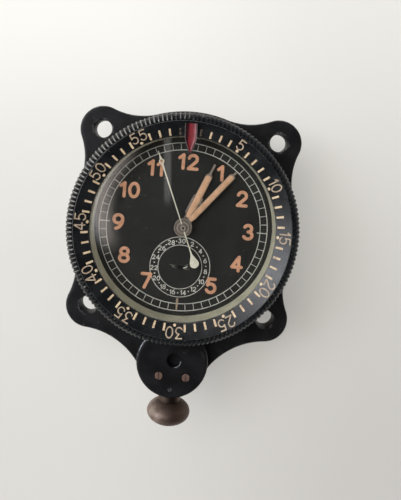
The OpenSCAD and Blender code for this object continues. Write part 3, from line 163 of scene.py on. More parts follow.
def eased(corners, cuts, steps=7):
    """A profile with eased corners: at each corner a curve (1-t)^2 A + 2t(1-t) P + t^2 B runs from A, its cut before
    the corner P, to B, its cut after it. A cut of 0 keeps the corner sharp."""
    p = np.asarray(corners, float)
    cut = np.asarray(cuts, float)[:, None]
    before, after = np.vstack([p[:1], p[:-1]]), np.vstack([p[1:], p[-1:]])
    a, b = ((p + unit(end - p) * cut)[:, None] for end in (before, after))
    t = np.linspace(0, 1, steps)[None, :, None]
    curve = ((1 - t) ** 2 * a + 2 * t * (1 - t) * p[:, None] + t**2 * b).reshape(-1, 2)
    moved = np.linalg.norm(np.diff(curve, axis=0), axis=1) > 1e-6
    return curve[np.append(True, moved)]


def groove(low, high, steps=9):
    """Half-round groove for the split ring: points of a profile on its circle from angle low to high, in degrees."""
    turn = np.radians(np.linspace(low, high, steps))
    return np.array(RING_GROOVE) + GROOVE_R * np.column_stack([np.cos(turn), np.sin(turn)])


def apex(a, ra, b, rb, side):
    """The point at distance ra from a and rb from b, to the left of the line from a to b if side is 1."""
    gap = np.linalg.norm(b - a)
    u = (b - a) / gap
    t = (ra**2 - rb**2 + gap**2) / (2 * gap)
    return a + u * t + side * math.sqrt(ra**2 - t**2) * np.array([-u[1], u[0]])


def flange_edge(count):
    """The flange's outline as points, even along it: bulges (chin, lugs, round middle) and hollows touch in turn.

    Each arc runs from touch to touch, forwards on a bulge, backwards on a hollow. The left half mirrors the right."""
    o, chin, low, high = np.array([(0, 0), (0, -CHIN), (LUG, -LUG), (LUG, LUG)])
    beside_chin = apex(chin, CHIN_R + CHIN_HOLLOW, low, LUG_R + CHIN_HOLLOW, -1)
    below, above, over_lug = (
        apex(o, FLANGE_R + HOLLOW, lug, LUG_R + HOLLOW, side) for lug, side in ((low, 1), (high, -1), (high, 1))
    )
    centres = np.array([chin, beside_chin, low, below, o, above, high, over_lug, o])
    radii = np.array([CHIN_R, -CHIN_HOLLOW, LUG_R, -HOLLOW, FLANGE_R, -HOLLOW, LUG_R, -HOLLOW, FLANGE_R])
    touch = centres[:-1] + unit(np.diff(centres, axis=0)) * np.abs(radii[:-1, None])
    ends = np.vstack([[0, -CHIN - CHIN_R], touch, [0, FLANGE_R]])
    start, stop = (np.arctan2(*(e - centres).T[::-1]) for e in (ends[:-1], ends[1:]))
    sign = np.sign(radii)
    sweep = sign * ((sign * (stop - start)) % (2 * np.pi))
    turn = start[:, None] + sweep[:, None] * np.linspace(0, 1, 200)
    arcs = centres[:, None] + np.abs(radii)[:, None, None] * np.stack([np.cos(turn), np.sin(turn)], -1)
    half = arcs.reshape(-1, 2)
    whole = np.vstack([half, half[::-1] * [-1, 1]])
    length = np.append(0, np.cumsum(np.linalg.norm(np.diff(whole, axis=0), axis=1)))
    even = np.arange(count) * length[-1] / count
    return np.column_stack([np.interp(even, length, whole[:, k]) for k in (0, 1)])


def node(tree, kind, inputs=(), **settings):
    """Adds a shader node; inputs give a socket, by name or number, a value, a colour or another node's output."""
    made = tree.nodes.new("ShaderNode" + kind)
    for key, value in settings.items():
        setattr(made, key, value)
    for key, value in dict(inputs).items():
        socket = made.inputs[key]
        if isinstance(value, bpy.types.NodeSocket):
            tree.links.new(value, socket)
        else:
            socket.default_value = (*value, 1.0) if socket.type == "RGBA" else value
    return made


def blend(share, first, second):
    """Output of a mix of two colours by a share from 0 to 1; as below, the node joins the tree of its input."""
    return node(share.id_data, "Mix", {0: share, 6: first, 7: second}, data_type="RGBA").outputs[2]


def span(value, low, high, to_low=0.0, to_high=1.0):
    """Output that runs from to_low to to_high while value runs from low to high, smoothly and no further."""
    ends = {"Value": value, 1: low, 2: high, 3: to_low, 4: to_high}
    return node(value.id_data, "MapRange", ends, interpolation_type="SMOOTHSTEP").outputs[0]


def maths(operation, first, second=0.0):
    """Output of one sum, quotient or the like of two values."""
    tree = (second if isinstance(first, float) else first).id_data
    return node(tree, "Math", {0: first, 1: second}, operation=operation).outputs[0]


def times(first, second):
    """Output of the product of two values."""
    return maths("MULTIPLY", first, second)


def vectors(operation, first, second=(0.0, 0.0, 0.0), out=0):
    """Output of one sum, product or the like of two vectors; out 1 gives a length or a dot product."""
    return node(first.id_data, "VectorMath", {0: first, 1: second}, operation=operation).outputs[out]


def noise(place, scale, detail, roughness=0.5):
    """Output of a noise of a place, with its scale, count of finer layers and their strength."""
    inputs = {"Vector": place, "Scale": scale, "Detail": detail, "Roughness": roughness}
    return node(place.id_data, "TexNoise", inputs).outputs[0]


def effect(name, takes, gives):
    """A node group for an effect that several finishes share: itself, its inputs, its outputs and the place in mm."""
    group = bpy.data.node_groups.new(name, "ShaderNodeTree")
    for keys, way in ((takes, "INPUT"), (gives, "OUTPUT")):
        for key in keys:
            group.interface.new_socket(key, in_out=way, socket_type="NodeSocketFloat")
    into, out = group.nodes.new("NodeGroupInput"), group.nodes.new("NodeGroupOutput")
    place = vectors("MULTIPLY", node(group, "TexCoord").outputs["Object"], (1 / MM, 1 / MM, 1 / MM))
    return group, into.outputs, out.inputs, place


def use(tree, group, *values):
    """Outputs of an effect placed in a finish, with values for its inputs in their order."""
    return node(tree, "Group", dict(enumerate(values)), node_tree=group).outputs


# Grain: a coarse cloud and a fine one, each a noise of the place in mm, for paint, castings and worn metal.
grain, takes, gives, place = effect("surface_grain", ["Coarse", "Fine"], ["Cloud", "Grain"])
grain.links.new(noise(place, takes["Coarse"], 5.0, 0.6), gives["Cloud"])
grain.links.new(noise(place, takes["Fine"], 3.0, 0.55), gives["Grain"])

# Rubbing: the worn edges painted on as an attribute (0 to 1), broken up by a noise, so that bare metal shows in
# patches; on the boss and on the bezel's teeth the same patches are painted highlights.
rubbing_and_highlight, takes, gives, place = effect("edge_rubbing_and_highlight", ["Edge", "Patch", "Hold"], ["Bare"])
worn = times(takes["Edge"], times(noise(place, takes["Patch"], 6.0, 0.7), 2.0))
worn_high = maths("ADD", takes["Hold"], 0.35)
rubbing_and_highlight.links.new(span(worn, takes["Hold"], worn_high), gives["Bare"])

# Scratches: thin bright lines where a noise, drawn out along one direction, passes through its middle value.
scratches, takes, gives, place = effect("fine_scratches", ["Turn", "Size", "Few"], ["Line"])
turn = node(scratches, "VectorRotate", {"Vector": place, "Angle": takes["Turn"]}, rotation_type="Z_AXIS").outputs[0]
lines = noise(vectors("MULTIPLY", turn, (0.06, 1.0, 1.0)), takes["Size"], 4.0, 0.6)
middle = maths("ABSOLUTE", maths("SUBTRACT", lines, 0.5))
rare_high = maths("ADD", takes["Few"], 0.08)
rare = span(noise(place, 0.3, 2.0), takes["Few"], rare_high)
scratches.links.new(times(span(middle, 0.004, 0.0), rare), gives["Line"])

# Dust: small round specks round the points of a cell pattern, of uneven size and gathered where a noise is high.
dust, takes, gives, place = effect("dust_specks", ["Cells", "Size", "Few"], ["Speck"])
cell = node(dust, "TexVoronoi", {"Vector": place, "Scale": takes["Cells"]}, feature="F1").outputs
draw = node(dust, "SeparateColor", {0: cell["Color"]}).outputs[0]
size = maths("ADD", times(maths("POWER", draw, 4.0), takes["Size"]), 0.004)
speck = span(maths("DIVIDE", cell["Distance"], size), 1.0, 0.6)
heap = span(noise(place, 0.12, 2.0), takes["Few"], maths("ADD", takes["Few"], 0.12))
dust.links.new(times(speck, heap), gives["Speck"])


def over(share, colour, most=1.0):
    """Lays a colour over the tone of a finish, by a share from 0 to 1 times most."""
    tone = share.id_data.nodes["Principled BSDF"].inputs["Base Color"]
    share.id_data.links.new(blend(times(share, most), tone.links[0].from_socket, colour), tone)


def clouded(name, first, second, coarse, fine, layers=(), patches=None, rough=None, by="Cloud", depth=0.0, **sockets):
    """A new finish of two tones in clouds of a coarse size, with some of its shader's sockets set.

    The layers lie over the tones in turn: an effect with its values, its share at most and its colour. patches gives
    the ends of the change from tone to tone, rough those of the roughness by cloud or grain and its two values. The
    fine grain makes a bump of the depth, in mm."""
    made = bpy.data.materials.new(name)
    made.use_nodes = True
    tree = made.node_tree
    shader = tree.nodes["Principled BSDF"].inputs
    for key, value in sockets.items():
        shader[key.replace("_", " ")].default_value = value
    look = use(tree, grain, coarse, fine)
    cloud = span(look["Cloud"], *patches) if patches else look["Cloud"]
    tree.links.new(blend(cloud, first, second), shader["Base Color"])
    for group, values, most, colour in layers:
        over(use(tree, group, *values)[0], colour, most)
    if rough:
        tree.links.new(span(look[by], *rough), shader["Roughness"])
    if depth:
        bump = node(tree, "Bump", {"Height": look["Grain"], "Distance": depth * MM, "Strength": 1.0})
        tree.links.new(bump.outputs[0], shader["Normal"])
    return made


def black_paint(name, paint, bare, roughness, hold, few, **sockets):
    """Black paint on a casting: clouded colour, fine grain, bare metal on rubbed edges, scratches and dust; on the boss
    and on the bezel's teeth the bare tone also lays painted highlights.
    """
    layers = [(scratches, (0.7, 0.5, few), 0.35, (0.16, 0.16, 0.16)), (dust, (0.8, 0.15, 0.5), 0.5, (0.25, 0.24, 0.22))]
    made = clouded(
        name, paint, [1.7 * c for c in paint], 0.22, 5.0, layers, (0.35, 0.7),
        (0.3, 0.7, roughness - 0.07, roughness + 0.08), depth=0.012, **sockets,
    )
    tree = made.node_tree
    rubbed = use(tree, rubbing_and_highlight, node(tree, "Attribute", attribute_name="wear_and_highlight").outputs["Fac"], 0.8, hold)["Bare"]
    over(rubbed, bare)
    tree.links.new(times(rubbed, 0.3), tree.nodes["Principled BSDF"].inputs["Metallic"])
    return made


def set_wear(made, wear_and_highlight):
    """Stores a value from 0 to 1, a function of the points' places in mm, as an attribute of the mesh: worn edges on
    the case, the back and the bezel, and painted highlights on the boss and on the bezel's teeth.
    """
    at = np.empty(len(made.data.vertices) * 3, np.float32)
    made.data.vertices.foreach_get("co", at)
    values = np.clip(wear_and_highlight(*(at.reshape(-1, 3).T / MM)), 0, 1).astype(np.float32)
    made.data.attributes.new("wear_and_highlight", "FLOAT", "POINT").data.foreach_set("value", values)


case_paint = black_paint("case_satin_black", (0.0055, 0.0055, 0.0062), (0.10, 0.10, 0.10), 0.42, 0.75, 0.60, IOR=1.42)
edge = flange_edge(1080)
along = unit(np.roll(edge, -1, 0) - np.roll(edge, 1, 0))
outward = np.column_stack([along[:, 1], -along[:, 0]])
edge_turn = np.arctan2(edge[:, 1], edge[:, 0])
spoke = np.column_stack([np.cos(edge_turn), np.sin(edge_turn)])
quarter = np.linspace(0, np.pi / 2, 7)
rim_inset = np.concatenate([[1.1], EDGE_TOP * (1 - np.sin(quarter)), EDGE_LOW * (1 - np.cos(quarter)), [1.0]])
rim_z = np.concatenate([[FLANGE], FLANGE - EDGE_TOP * (1 - np.cos(quarter)), EDGE_LOW * (1 - np.sin(quarter)), [0]])
rim = levels(edge - rim_inset[:, None, None] * outward, rim_z)
neck = eased(
    [(24.6, DRUM_END), (24.6, 5.0), (NECK_BORE, 5.0), (NECK_BORE, NECK_TOP), (NECK_R, NECK_TOP), (NECK_R, 11.9)],
    [0, 0, 0, 0.1, 0.2, 0],
)
seat = eased([(NECK_R, 10.9), (NECK_R, SEAT_Z), (SEAT_R, SEAT_Z), (SEAT_R, FLANGE)], [0, 0.1, 0.25, 0])
drum = eased([(DRUM_R, 0), (DRUM_R, DRUM_END), (25.5, DRUM_END)], [0, 0.3, 0])
upper = np.vstack([neck, groove(96, 264), seat])
rings = [levels(r[:, None, None] * spoke, z) for r, z in (upper.T, drum.T)]
stem_steps = [(0.85, 22, STEM_END), (1.9, 30.8, 36.1), (2.25, 36.0, STEM_END)]
stem_profiles = [[(0, a), (r, a), (r, b), (0, b)] for r, a, b in stem_steps]
stem_profiles += [[(0, 42.4), (2.95, 42.4), (2.95, 43.2), (3.35, STEM_END), (0, STEM_END)]]
stem_bores = [laid(turned(p, 64)) for p in stem_profiles]
lug_flare = [(0, -1), (3.1, -1), (LUG_HOLE, 0.25), (LUG_HOLE, 3.95), (2.42, 4.25), (3.1, 5.2), (0, 5.2)]
lug_bores = [turned(lug_flare, 72, (x, y)) for x in (-LUG, LUG) for y in (-LUG, LUG)]
casting = skin(np.concatenate([rings[0], rim, rings[1]]), wrap_rows=True)
case = bored("case_casting", [casting], lug_bores + stem_bores, case_paint, "case_body")


def flange_wear(x, y, z):
    """Wear of the flange: full on the upper edge of its outline and round the lug holes, none 0.7 mm away."""
    order = np.argsort(edge_turn)
    reach = np.interp(np.arctan2(y, x), edge_turn[order], np.linalg.norm(edge, axis=1)[order])
    rim_gap = np.abs(reach - np.hypot(x, y) - 0.2)
    hole_gap = np.abs(np.hypot(np.abs(x) - LUG, np.abs(y) - LUG) - LUG_HOLE - 0.15)
    return (1 - np.minimum(rim_gap, hole_gap) / 0.7) * (z > 3.4)


set_wear(case, flange_wear)


# The back: a turned cover with a rounded edge and a shallow dish, on a rubber gasket, held by four slotted steel
# screws whose heads lie in counterbores. It is painted as the case is.
BACK_Z, BACK_SCREW = -16.0, 18.2787
BACK_SCREWS = [(x, y) for x in (-BACK_SCREW, BACK_SCREW) for y in (-BACK_SCREW, BACK_SCREW)]


def slotted_head(at, z_top, drop, radius, width, depth, turn, up=1, soft=0.12):
    """Skin of a screw head: columns run across the slot, rows along it, to the chord of the head's circle.

    The height falls off near the rim as a quarter round, and the columns of the slot lie deeper by its depth.
    Rows 0 and last stand at the foot of the head; turn is the slot's direction, up says which way it looks."""
    side = radius * np.sin(np.linspace(0, 1, 12) * np.pi / 2)
    half = np.concatenate([[width / 2], side[side > width / 2 + 0.02]])
    across = np.concatenate([-half[::-1], [-width / 2 + 1e-4, width / 2 - 1e-4], half])
    chord = np.sqrt(np.maximum(radius**2 - across**2, 0))
    y = np.concatenate([[-1], np.sin(np.linspace(-1, 1, 15) * np.pi / 2), [1]])[:, None] * chord
    x = np.broadcast_to(across, y.shape)
    inset = np.clip((np.hypot(x, y) - radius + soft) / soft, 0, 1)
    z = z_top - soft * (1 - np.sqrt(1 - inset**2)) - depth * (np.abs(across) < width / 2)
    z[[0, -1]] = z_top - drop
    z = z if up > 0 else 2 * z_top - z
    c, s = math.cos(turn), math.sin(turn)
    grid = np.stack([at[0] + x * c - y * s, at[1] + x * s + y * c, z], -1)
    return skin(grid, wrap_rows=True, wrap_cols=False)


def metal(name, colour, dark, roughness, bright=1.0, coarse=0.6, depth=0.006, patches=(0.42, 0.66)):
    """Bare or tarnished metal: clouds of a darker tone, uneven gloss, fine scratches and a fine grain; bright is
    the metallic share, less than 1 under a dull oxide."""
    pale = [min(1.0, 1.6 * c) for c in colour]
    layers = [(scratches, (1.1, 0.9, 0.58), 0.5, pale)]
    rough = (0.3, 0.75, roughness - 0.06, roughness + 0.12)
    return clouded(name, colour, dark, coarse, 9.0, layers, patches, rough, depth=depth, Metallic=bright)


def dress(look, *names):
    """Gives solids of the frame, whose shape stays, their finish."""
    for name in names:
        solid = frame["nodes"][name]
        solid.data.materials.clear()
        solid.data.materials.append(look)


cover = eased(
    [(0, -14.0), (DRUM_R, -14.0), (DRUM_R, BACK_Z), (23.2, BACK_Z), (22.8, -15.75), (9.0, -15.75), (8.6, -15.55),
     (0, -15.55)],
    [0, 0.15, 0.5, 0.2, 0.2, 0.2, 0.2, 0],
)
back_well = [(0, -17), (1.55, -17), (1.2, -15.9), (1.2, -15.15), (0.65, -15.15), (0.65, -13), (0, -13)]
cover_bores = [turned(back_well, 48, p) for p in BACK_SCREWS]
back = bored("back_cover", [turned(cover, 240)], cover_bores, case_paint, "case_back")
set_wear(back, lambda x, y, z: 1 - np.abs(np.hypot(x, y) - 26.9) / 0.5)
screw_steel = metal("screw_steel", (0.36, 0.36, 0.37), (0.12, 0.11, 0.10), 0.34)
back_shank = [(0, -15.2), (0.6, -15.2), (0.6, -11.9), (0.45, -11.7), (0, -11.7)]
back_screws = [
    slotted_head(p, -15.95, 0.8, 1.15, 0.34, 0.4, 0.6 + 1.3 * k, up=-1) for k, p in enumerate(BACK_SCREWS)
]
back_screws += [turned(back_shank, 32, p) for p in BACK_SCREWS]
piece("back_screw_set", back_screws, screw_steel, "case", ["back_screws"])
rubber = clouded("black_rubber", (0.010, 0.010, 0.010), (0.022, 0.022, 0.020), 0.5, 8.0, depth=0.01, Roughness=0.75)
dress(rubber, "back_gasket", "crystal_seal")


# The stem housing: a round boss screwed on the chin, over the winding stem. Its shoulder is rounded, it is cut
# back round the bezel, and it has an open recess in the middle and two counterbored screws of dull copper.
HOUSING_TOP, HOUSING_R = 10.0, 9.0
HOUSING_SCREWS = [(-3.05, -37.75), (3.75, -37.75)]
RECESS, SET_SCREW = (0.4, -33.6), (0.0, -41.1)
# The boss's bluish-white bare tone is a painted highlight of the window's light, laid on the upper left of its shoulder
# and the lower right of its recess's lip.
boss_paint = black_paint("boss_satin_black", (0.0048, 0.0048, 0.0054), (0.40, 0.43, 0.49), 0.42, 0.55, 0.60, IOR=1.35)
boss = eased(
    [(0, FLANGE), (HOUSING_R, FLANGE), (HOUSING_R, HOUSING_TOP), (0, HOUSING_TOP)], [0, 0.05, 0.95, 0], 12
)
boss = np.vstack([boss[:-1], [[7.2, HOUSING_TOP], [3.0, HOUSING_TOP], [0, HOUSING_TOP]]])
clearance = [(0, 3), (27.85, 3), (27.85, 7.0), (28.25, 7.0), (28.25, 9.7), (28.5, 10.1), (29.0, 11), (0, 11)]
recess = [(0, 8.0), (1.5, 8.0), (1.7, 8.2), (1.7, 9.8), (1.77, 9.93), (1.95, 10.2), (0, 10.2)]
screw_well = [(0, 4), (0.6, 4), (0.6, 9.35), (1.08, 9.35), (1.08, 9.9), (1.35, 10.3), (0, 10.3)]
set_well = [(0, 5.6), (0.63, 5.6), (0.63, 9.9), (0.85, 10.3), (0, 10.3)]
boss_bores = [turned(clearance, 720), turned(recess, 72, RECESS)]
boss_bores += [turned(screw_well, 48, p) for p in HOUSING_SCREWS] + [turned(set_well, 40, SET_SCREW)]
blank = turned(boss, 240, (0, -CHIN))
housing = bored("stem_boss", [blank], boss_bores + stem_bores, boss_paint, "stem_housing", 30)


def boss_wear(x, y, z):
    """Painted highlight on the boss, kept in its worn-edge attribute: on the upper left of its shoulder and on the
    lower right of its recess's lip, where the window's light catches them.
    """
    r, turn = np.hypot(x, y + CHIN), np.arctan2(y + CHIN, x)
    shoulder = (1.1 - np.abs(r - 8.75) / 0.25) * np.clip(2.2 * np.cos(turn - 2.4) - 1.2, 0, 1)
    lip_r, lip_turn = np.hypot(x - RECESS[0], y - RECESS[1]), np.arctan2(y - RECESS[1], x - RECESS[0])
    lip = (0.95 - np.abs(lip_r - 1.78) / 0.12) * np.clip(2.5 * np.cos(lip_turn + 0.8) - 1.0, 0, 1)
    return np.maximum(shoulder, lip) * (z > 9.0)


set_wear(housing, boss_wear)
copper = metal("dull_copper", (0.16, 0.102, 0.082), (0.07, 0.048, 0.041), 0.5, 0.35, coarse=1.2)
shank = [(0, 2.5), (0.4, 2.5), (0.55, 2.8), (0.55, 9.45), (0, 9.45)]
pair = [slotted_head(p, 9.9, 0.5, 1.0, 0.3, 0.28, 0.0) for p in HOUSING_SCREWS]
pair += [turned(shank, 32, p) for p in HOUSING_SCREWS]
piece("housing_screw_pair", pair, copper, "case", ["housing_screws"])
grub = slotted_head(SET_SCREW, 9.7, 0.7, 0.6, 0.2, 0.3, 0.5, soft=0.08)
grub_tip = turned([(0, 7.9), (0.3, 7.9), (0.48, 8.1), (0.48, 9.05), (0, 9.05)], 32, SET_SCREW)
grub_steel = metal("grub_steel", (0.06, 0.061, 0.066), (0.03, 0.03, 0.03), 0.45, 0.2)
piece("sleeve_grub_screw", [grub, grub_tip], grub_steel, "case", ["sleeve_set_screw"])


# The movement behind the dial: brass plates, bridges, pillars and wheels, steel winding work, pinions and screws,
# blued springs. The solids of the frame have the shape, and get brushed and tarnished metal.
metals = {
    "brass": metal("movement_brass", (0.62, 0.43, 0.17), (0.36, 0.23, 0.09), 0.30, coarse=0.35),
    "steel": metal("movement_steel", (0.46, 0.46, 0.47), (0.24, 0.23, 0.22), 0.28),
    "blue_steel": metal("blued_spring", (0.05, 0.08, 0.22), (0.03, 0.03, 0.07), 0.24),
}
finished = ("back_screws", "sleeve_set_screw", "counter_hand")
for part in frame["record"]["subparts"]:
    if part["material_slot"] in metals and part["node"] not in finished:
        dress(metals[part["material_slot"]], part["node"])


# The wall ring: a thin ring between the dial and the crystal, in an olive-grey paint that has gone patchy.
# It drops in on the dial's edge and the crystal holds it down.
olive = clouded(
    "wall_olive_paint", (0.64, 0.615, 0.475), (0.50, 0.48, 0.375), 0.3, 6.0,
    [(dust, (1.4, 0.2, 0.45), 0.6, (0.16, 0.15, 0.12))], (0.35, 0.7), (0.3, 0.7, 0.42, 0.6), depth=0.01,
)
dress(olive, "wall_ring")


# The dial: a brass disc with two feet, painted matt black. It has gathered dust and fine scratches, and the paint
# is scraped beside the counter's post.
DIAL_Z, COUNTER = 10.4, (0.0, -10.0)
dial_layers = [
    (dust, (2.6, 0.16, 0.36), 0.35, (0.12, 0.12, 0.11)),
    (dust, (1.1, 0.22, 0.42), 0.6, (0.22, 0.21, 0.19)),
    (scratches, (2.2, 0.7, 0.56), 0.25, (0.15, 0.15, 0.14)),
]
matt = clouded(
    "dial_matt_black", (0.0085, 0.0085, 0.0080), (0.0150, 0.0150, 0.0140), 0.16, 7.0,
    dial_layers, (0.3, 0.7), (0.3, 0.7, 0.58, 0.72), depth=0.01,
)
dress(matt, "dial")


# The dial's print: a railway track of two circles and sixty ticks in greyish white, the hour numbers in aged
# luminous paint, and the counter's two circles with its small numbers. All of it is thin raised paint.
STROKE_STEPS = 20


def stretch(x0, y0, x1, y1):
    """A straight stroke from one point to another."""
    return np.linspace([x0, y0], [x1, y1], STROKE_STEPS)


def bow(cx, cy, rx, ry, start, stop):
    """A stroke along an ellipse, from one angle to another, in degrees."""
    turn = np.radians(np.linspace(start, stop, STROKE_STEPS))
    return np.column_stack([cx + rx * np.cos(turn), cy + ry * np.sin(turn)])


# Each digit is a few strokes in a box of 1 by 1, which the middle of the pen follows, and a width to height ratio.
# The digit f is a three with a flat top.
DIGITS = {
    "0": (0.72, [bow(0.5, 0.5, 0.5, 0.5, 90, 450)]),
    "1": (0.30, [stretch(1, 0, 1, 1), stretch(1, 1, 0, 0.76)]),
    "2": (0.72, [bow(0.5, 0.72, 0.46, 0.28, 170, -32), stretch(0.89, 0.57, 0.02, 0.0), stretch(0.02, 0, 1, 0)]),
    "3": (0.70, [bow(0.46, 0.755, 0.42, 0.245, 155, -85), bow(0.48, 0.26, 0.5, 0.26, 88, -155)]),
    "f": (0.70, [stretch(0.05, 1, 0.95, 1), stretch(0.95, 1, 0.46, 0.6), bow(0.46, 0.3, 0.52, 0.3, 92, -155)]),
    "4": (0.76, [stretch(0.68, 1, 0, 0.27), stretch(0, 0.27, 1, 0.27), stretch(0.70, 1, 0.70, 0)]),
    "5": (0.70, [stretch(0.92, 1, 0.16, 1), stretch(0.16, 1, 0.10, 0.54), bow(0.46, 0.32, 0.52, 0.32, 134, -152)]),
    "6": (0.72, [bow(0.5, 0.31, 0.5, 0.31, 90, 450), bow(0.86, 0.36, 0.86, 0.66, 180, 100)]),
    "7": (0.70, [stretch(0, 1, 1, 1), stretch(1, 1, 0.34, 0)]),
    "8": (0.72, [bow(0.5, 0.76, 0.42, 0.24, -90, 270), bow(0.5, 0.26, 0.5, 0.26, 90, 450)]),
    "9": (0.72, [bow(0.5, 0.69, 0.5, 0.31, 90, 450), bow(0.14, 0.64, 0.86, 0.66, 0, -80)]),
}


def number(digits, height, pen, gap, lift, narrow=1.0):
    """Grids of a number, centred on (0, 0): its digits stand side by side, each in its own box less the pen, and
    narrow sets the boxes' width."""
    boxes = np.maximum([DIGITS[d][0] * height * narrow for d in digits], 2.2 * pen)
    lefts = np.cumsum(boxes + gap) - boxes - gap - (boxes.sum() + gap * (len(digits) - 1)) / 2
    paths = [
        s * (box - pen, height - pen) + (left + pen / 2, (pen - height) / 2)
        for d, box, left in zip(digits, boxes, lefts) for s in DIGITS[d][1]
    ]
    return strokes(paths, pen / 2, lift)


def strokes(paths, half, lift, sink=0.03, blunt=False):
    """Grids of pen strokes (copies x rows x 7 x xyz): a flat-domed section is carried along each path.

    Past both ends the path runs on by the pen's half width times the sine of an angle while the width falls with
    its cosine, which makes a round end; a blunt end falls to nothing at once. Each stroke of a set lies a little
    higher than the one before, so that crossings have no two faces in one plane."""
    paths = np.asarray(paths, float)
    way = unit(np.gradient(paths, axis=1))
    fall = np.array([np.pi / 2]) if blunt else np.linspace(np.pi / 2, 0, 5)[:-1]
    reach = 0 * fall if blunt else half * np.sin(fall)
    head = paths[:, :1] - way[:, :1] * reach[None, :, None]
    tail = paths[:, -1:] + way[:, -1:] * reach[None, ::-1, None]
    middle = np.concatenate([head, paths, tail], 1)
    way = np.pad(way, ((0, 0), (len(fall), len(fall)), (0, 0)), "edge")
    wide = half * np.concatenate([np.cos(fall), np.ones(paths.shape[1]), np.cos(fall[::-1])])
    across = np.stack([-way[:, :, 1], way[:, :, 0]], -1)
    share = np.array([-1, -1, -0.7, 0, 0.7, 1, 1])
    flat = middle[:, :, None] + across[:, :, None] * (wide[:, None] * share)[None, :, :, None]
    level = lift * np.array([0, 0.6, 0.93, 1, 0.93, 0.6, 0]) - sink * np.array([1, 0, 0, 0, 0, 0, 1])
    stack = 0.0015 * (np.arange(len(paths)) % 6)
    high = np.broadcast_to(level + stack[:, None, None] * (level > 0), flat.shape[:3])
    return np.concatenate([flat, high[..., None]], -1)


def on_dial(grid, at=(0.0, 0.0)):
    """Puts a flat grid (right, up, height) on the dial, with its middle at a point."""
    return grid + np.array([at[0], at[1], DIAL_Z])


def clock_point(radius, minute):
    """The point at a radius and a minute of the dial, clockwise from the top."""
    return np.stack([radius * np.sin(minute * np.pi / 30), radius * np.cos(minute * np.pi / 30)], -1)


def spokes(at_minutes, inner, outer, half, lift):
    """Strokes along spokes of the dial, from one radius to another."""
    paths = np.linspace(clock_point(inner, at_minutes), clock_point(outer, at_minutes), 4, axis=1)
    return on_dial(strokes(paths, half, lift, blunt=True))


def paint_line(radius, width, at=(0.0, 0.0), lift=0.016):
    """Skin of a printed circle: a low domed section round a point of the dial."""
    share = np.array([-0.5, -0.5, -0.3, 0, 0.3, 0.5, 0.5])
    level = np.array([-0.03, 0.6 * lift, 0.92 * lift, lift, 0.92 * lift, 0.6 * lift, -0.03])
    return skin(turned(np.column_stack([radius + width * share, DIAL_Z + level]), 360, at), wrap_rows=True)


def printed(name, colour, faded, roughness, worn=0.62, coarse=0.7, depth=0.012):
    """Old printed or luminous paint: two tones in clouds, a coarse grain and small lost or dirty patches."""
    rough = (0.3, 0.7, roughness - 0.08, roughness + 0.08)
    made = clouded(name, colour, faded, coarse, 4.0, (), (0.35, 0.68), rough, "Grain", depth)
    tree, dirty = made.node_tree, [0.35 * c for c in faded]
    over(span(use(tree, grain, 2.2, 11.0)["Cloud"], worn, worn + 0.14), dirty)
    over(use(tree, dust, 2.0, 0.25, 0.35)["Speck"], dirty, 0.5)
    return made


TRACK_OUT, TRACK_IN = 20.87, 19.12
HOUR_TICK = (TRACK_OUT + 0.05, 0.115, 0.02)
track_white = printed("track_white", (0.62, 0.62, 0.59), (0.42, 0.42, 0.395), 0.6)
minutes = np.arange(60)
fifth = minutes % 5 == 0
track = [paint_line(r, 0.2) for r in (TRACK_IN, TRACK_OUT)]
track += [spokes(minutes[~fifth], TRACK_IN, TRACK_OUT, 0.075, 0.014)]
track += [spokes(minutes[fifth & (minutes % 15 > 0) | (minutes == 0)], TRACK_IN - 0.05, *HOUR_TICK)]
track += [spokes(np.array([15, 45]), TRACK_IN - 0.8, *HOUR_TICK)]
piece("dial_track", track, track_white, "case")


def closed_ends(stations):
    """Stations of a strip (distance, half width) with one of no width before the first and after the last."""
    s = np.asarray(stations, float)
    return np.vstack([s[:1] * [1, 0], s, s[-1:] * [1, 0]])


def pointed(distance, side, z, angle):
    """Grid of a strip that points along a clock angle: its points' distance from the axis, place aside and height."""
    s, c = math.sin(math.radians(angle)), math.cos(math.radians(angle))
    return np.stack([distance * s + side * c, distance * c - side * s, z], -1)


def filled(stations, low, high, angle):
    """Grid of the paint in a hand's opening: a strip with steep edges and a gently domed top across its width."""
    s = closed_ends(stations)
    side = s[:, 1:] * np.array([-1, -1, -0.75, -0.4, 0, 0.4, 0.75, 1, 1])
    rise = np.array([0, 0.35, 0.75, 0.95, 1, 0.95, 0.75, 0.35, 0])
    return pointed(s[:, :1], side, low + (high - low) * rise + 0 * side, angle)


HOUR_R, HOUR_HEIGHT, HOUR_PEN = 16.2, 4.15, 0.80
orange = printed("numeral_orange_tan", (0.71, 0.375, 0.235), (0.55, 0.28, 0.172), 0.75)
hour_numbers = [
    on_dial(number(str(h), HOUR_HEIGHT, HOUR_PEN, 0.5, 0.05), clock_point(HOUR_R, 5.0 * h))
    for h in (12, 1, 2, 3, 4, 5, 7, 8, 9, 10, 11)
]
piece("hour_numerals", hour_numbers, orange, "case")
bar_tan = printed("six_bar_tan", (0.40, 0.30, 0.225), (0.29, 0.21, 0.155), 0.75)
six_shape = [(17.75, 0.14), (17.9, 0.25), (18.1, 0.3), (19.1, 0.27), (20.85, 0.16)]
piece("six_bar", [filled(six_shape, DIAL_Z - 0.02, DIAL_Z + 0.05, 180)], bar_tan, "case")

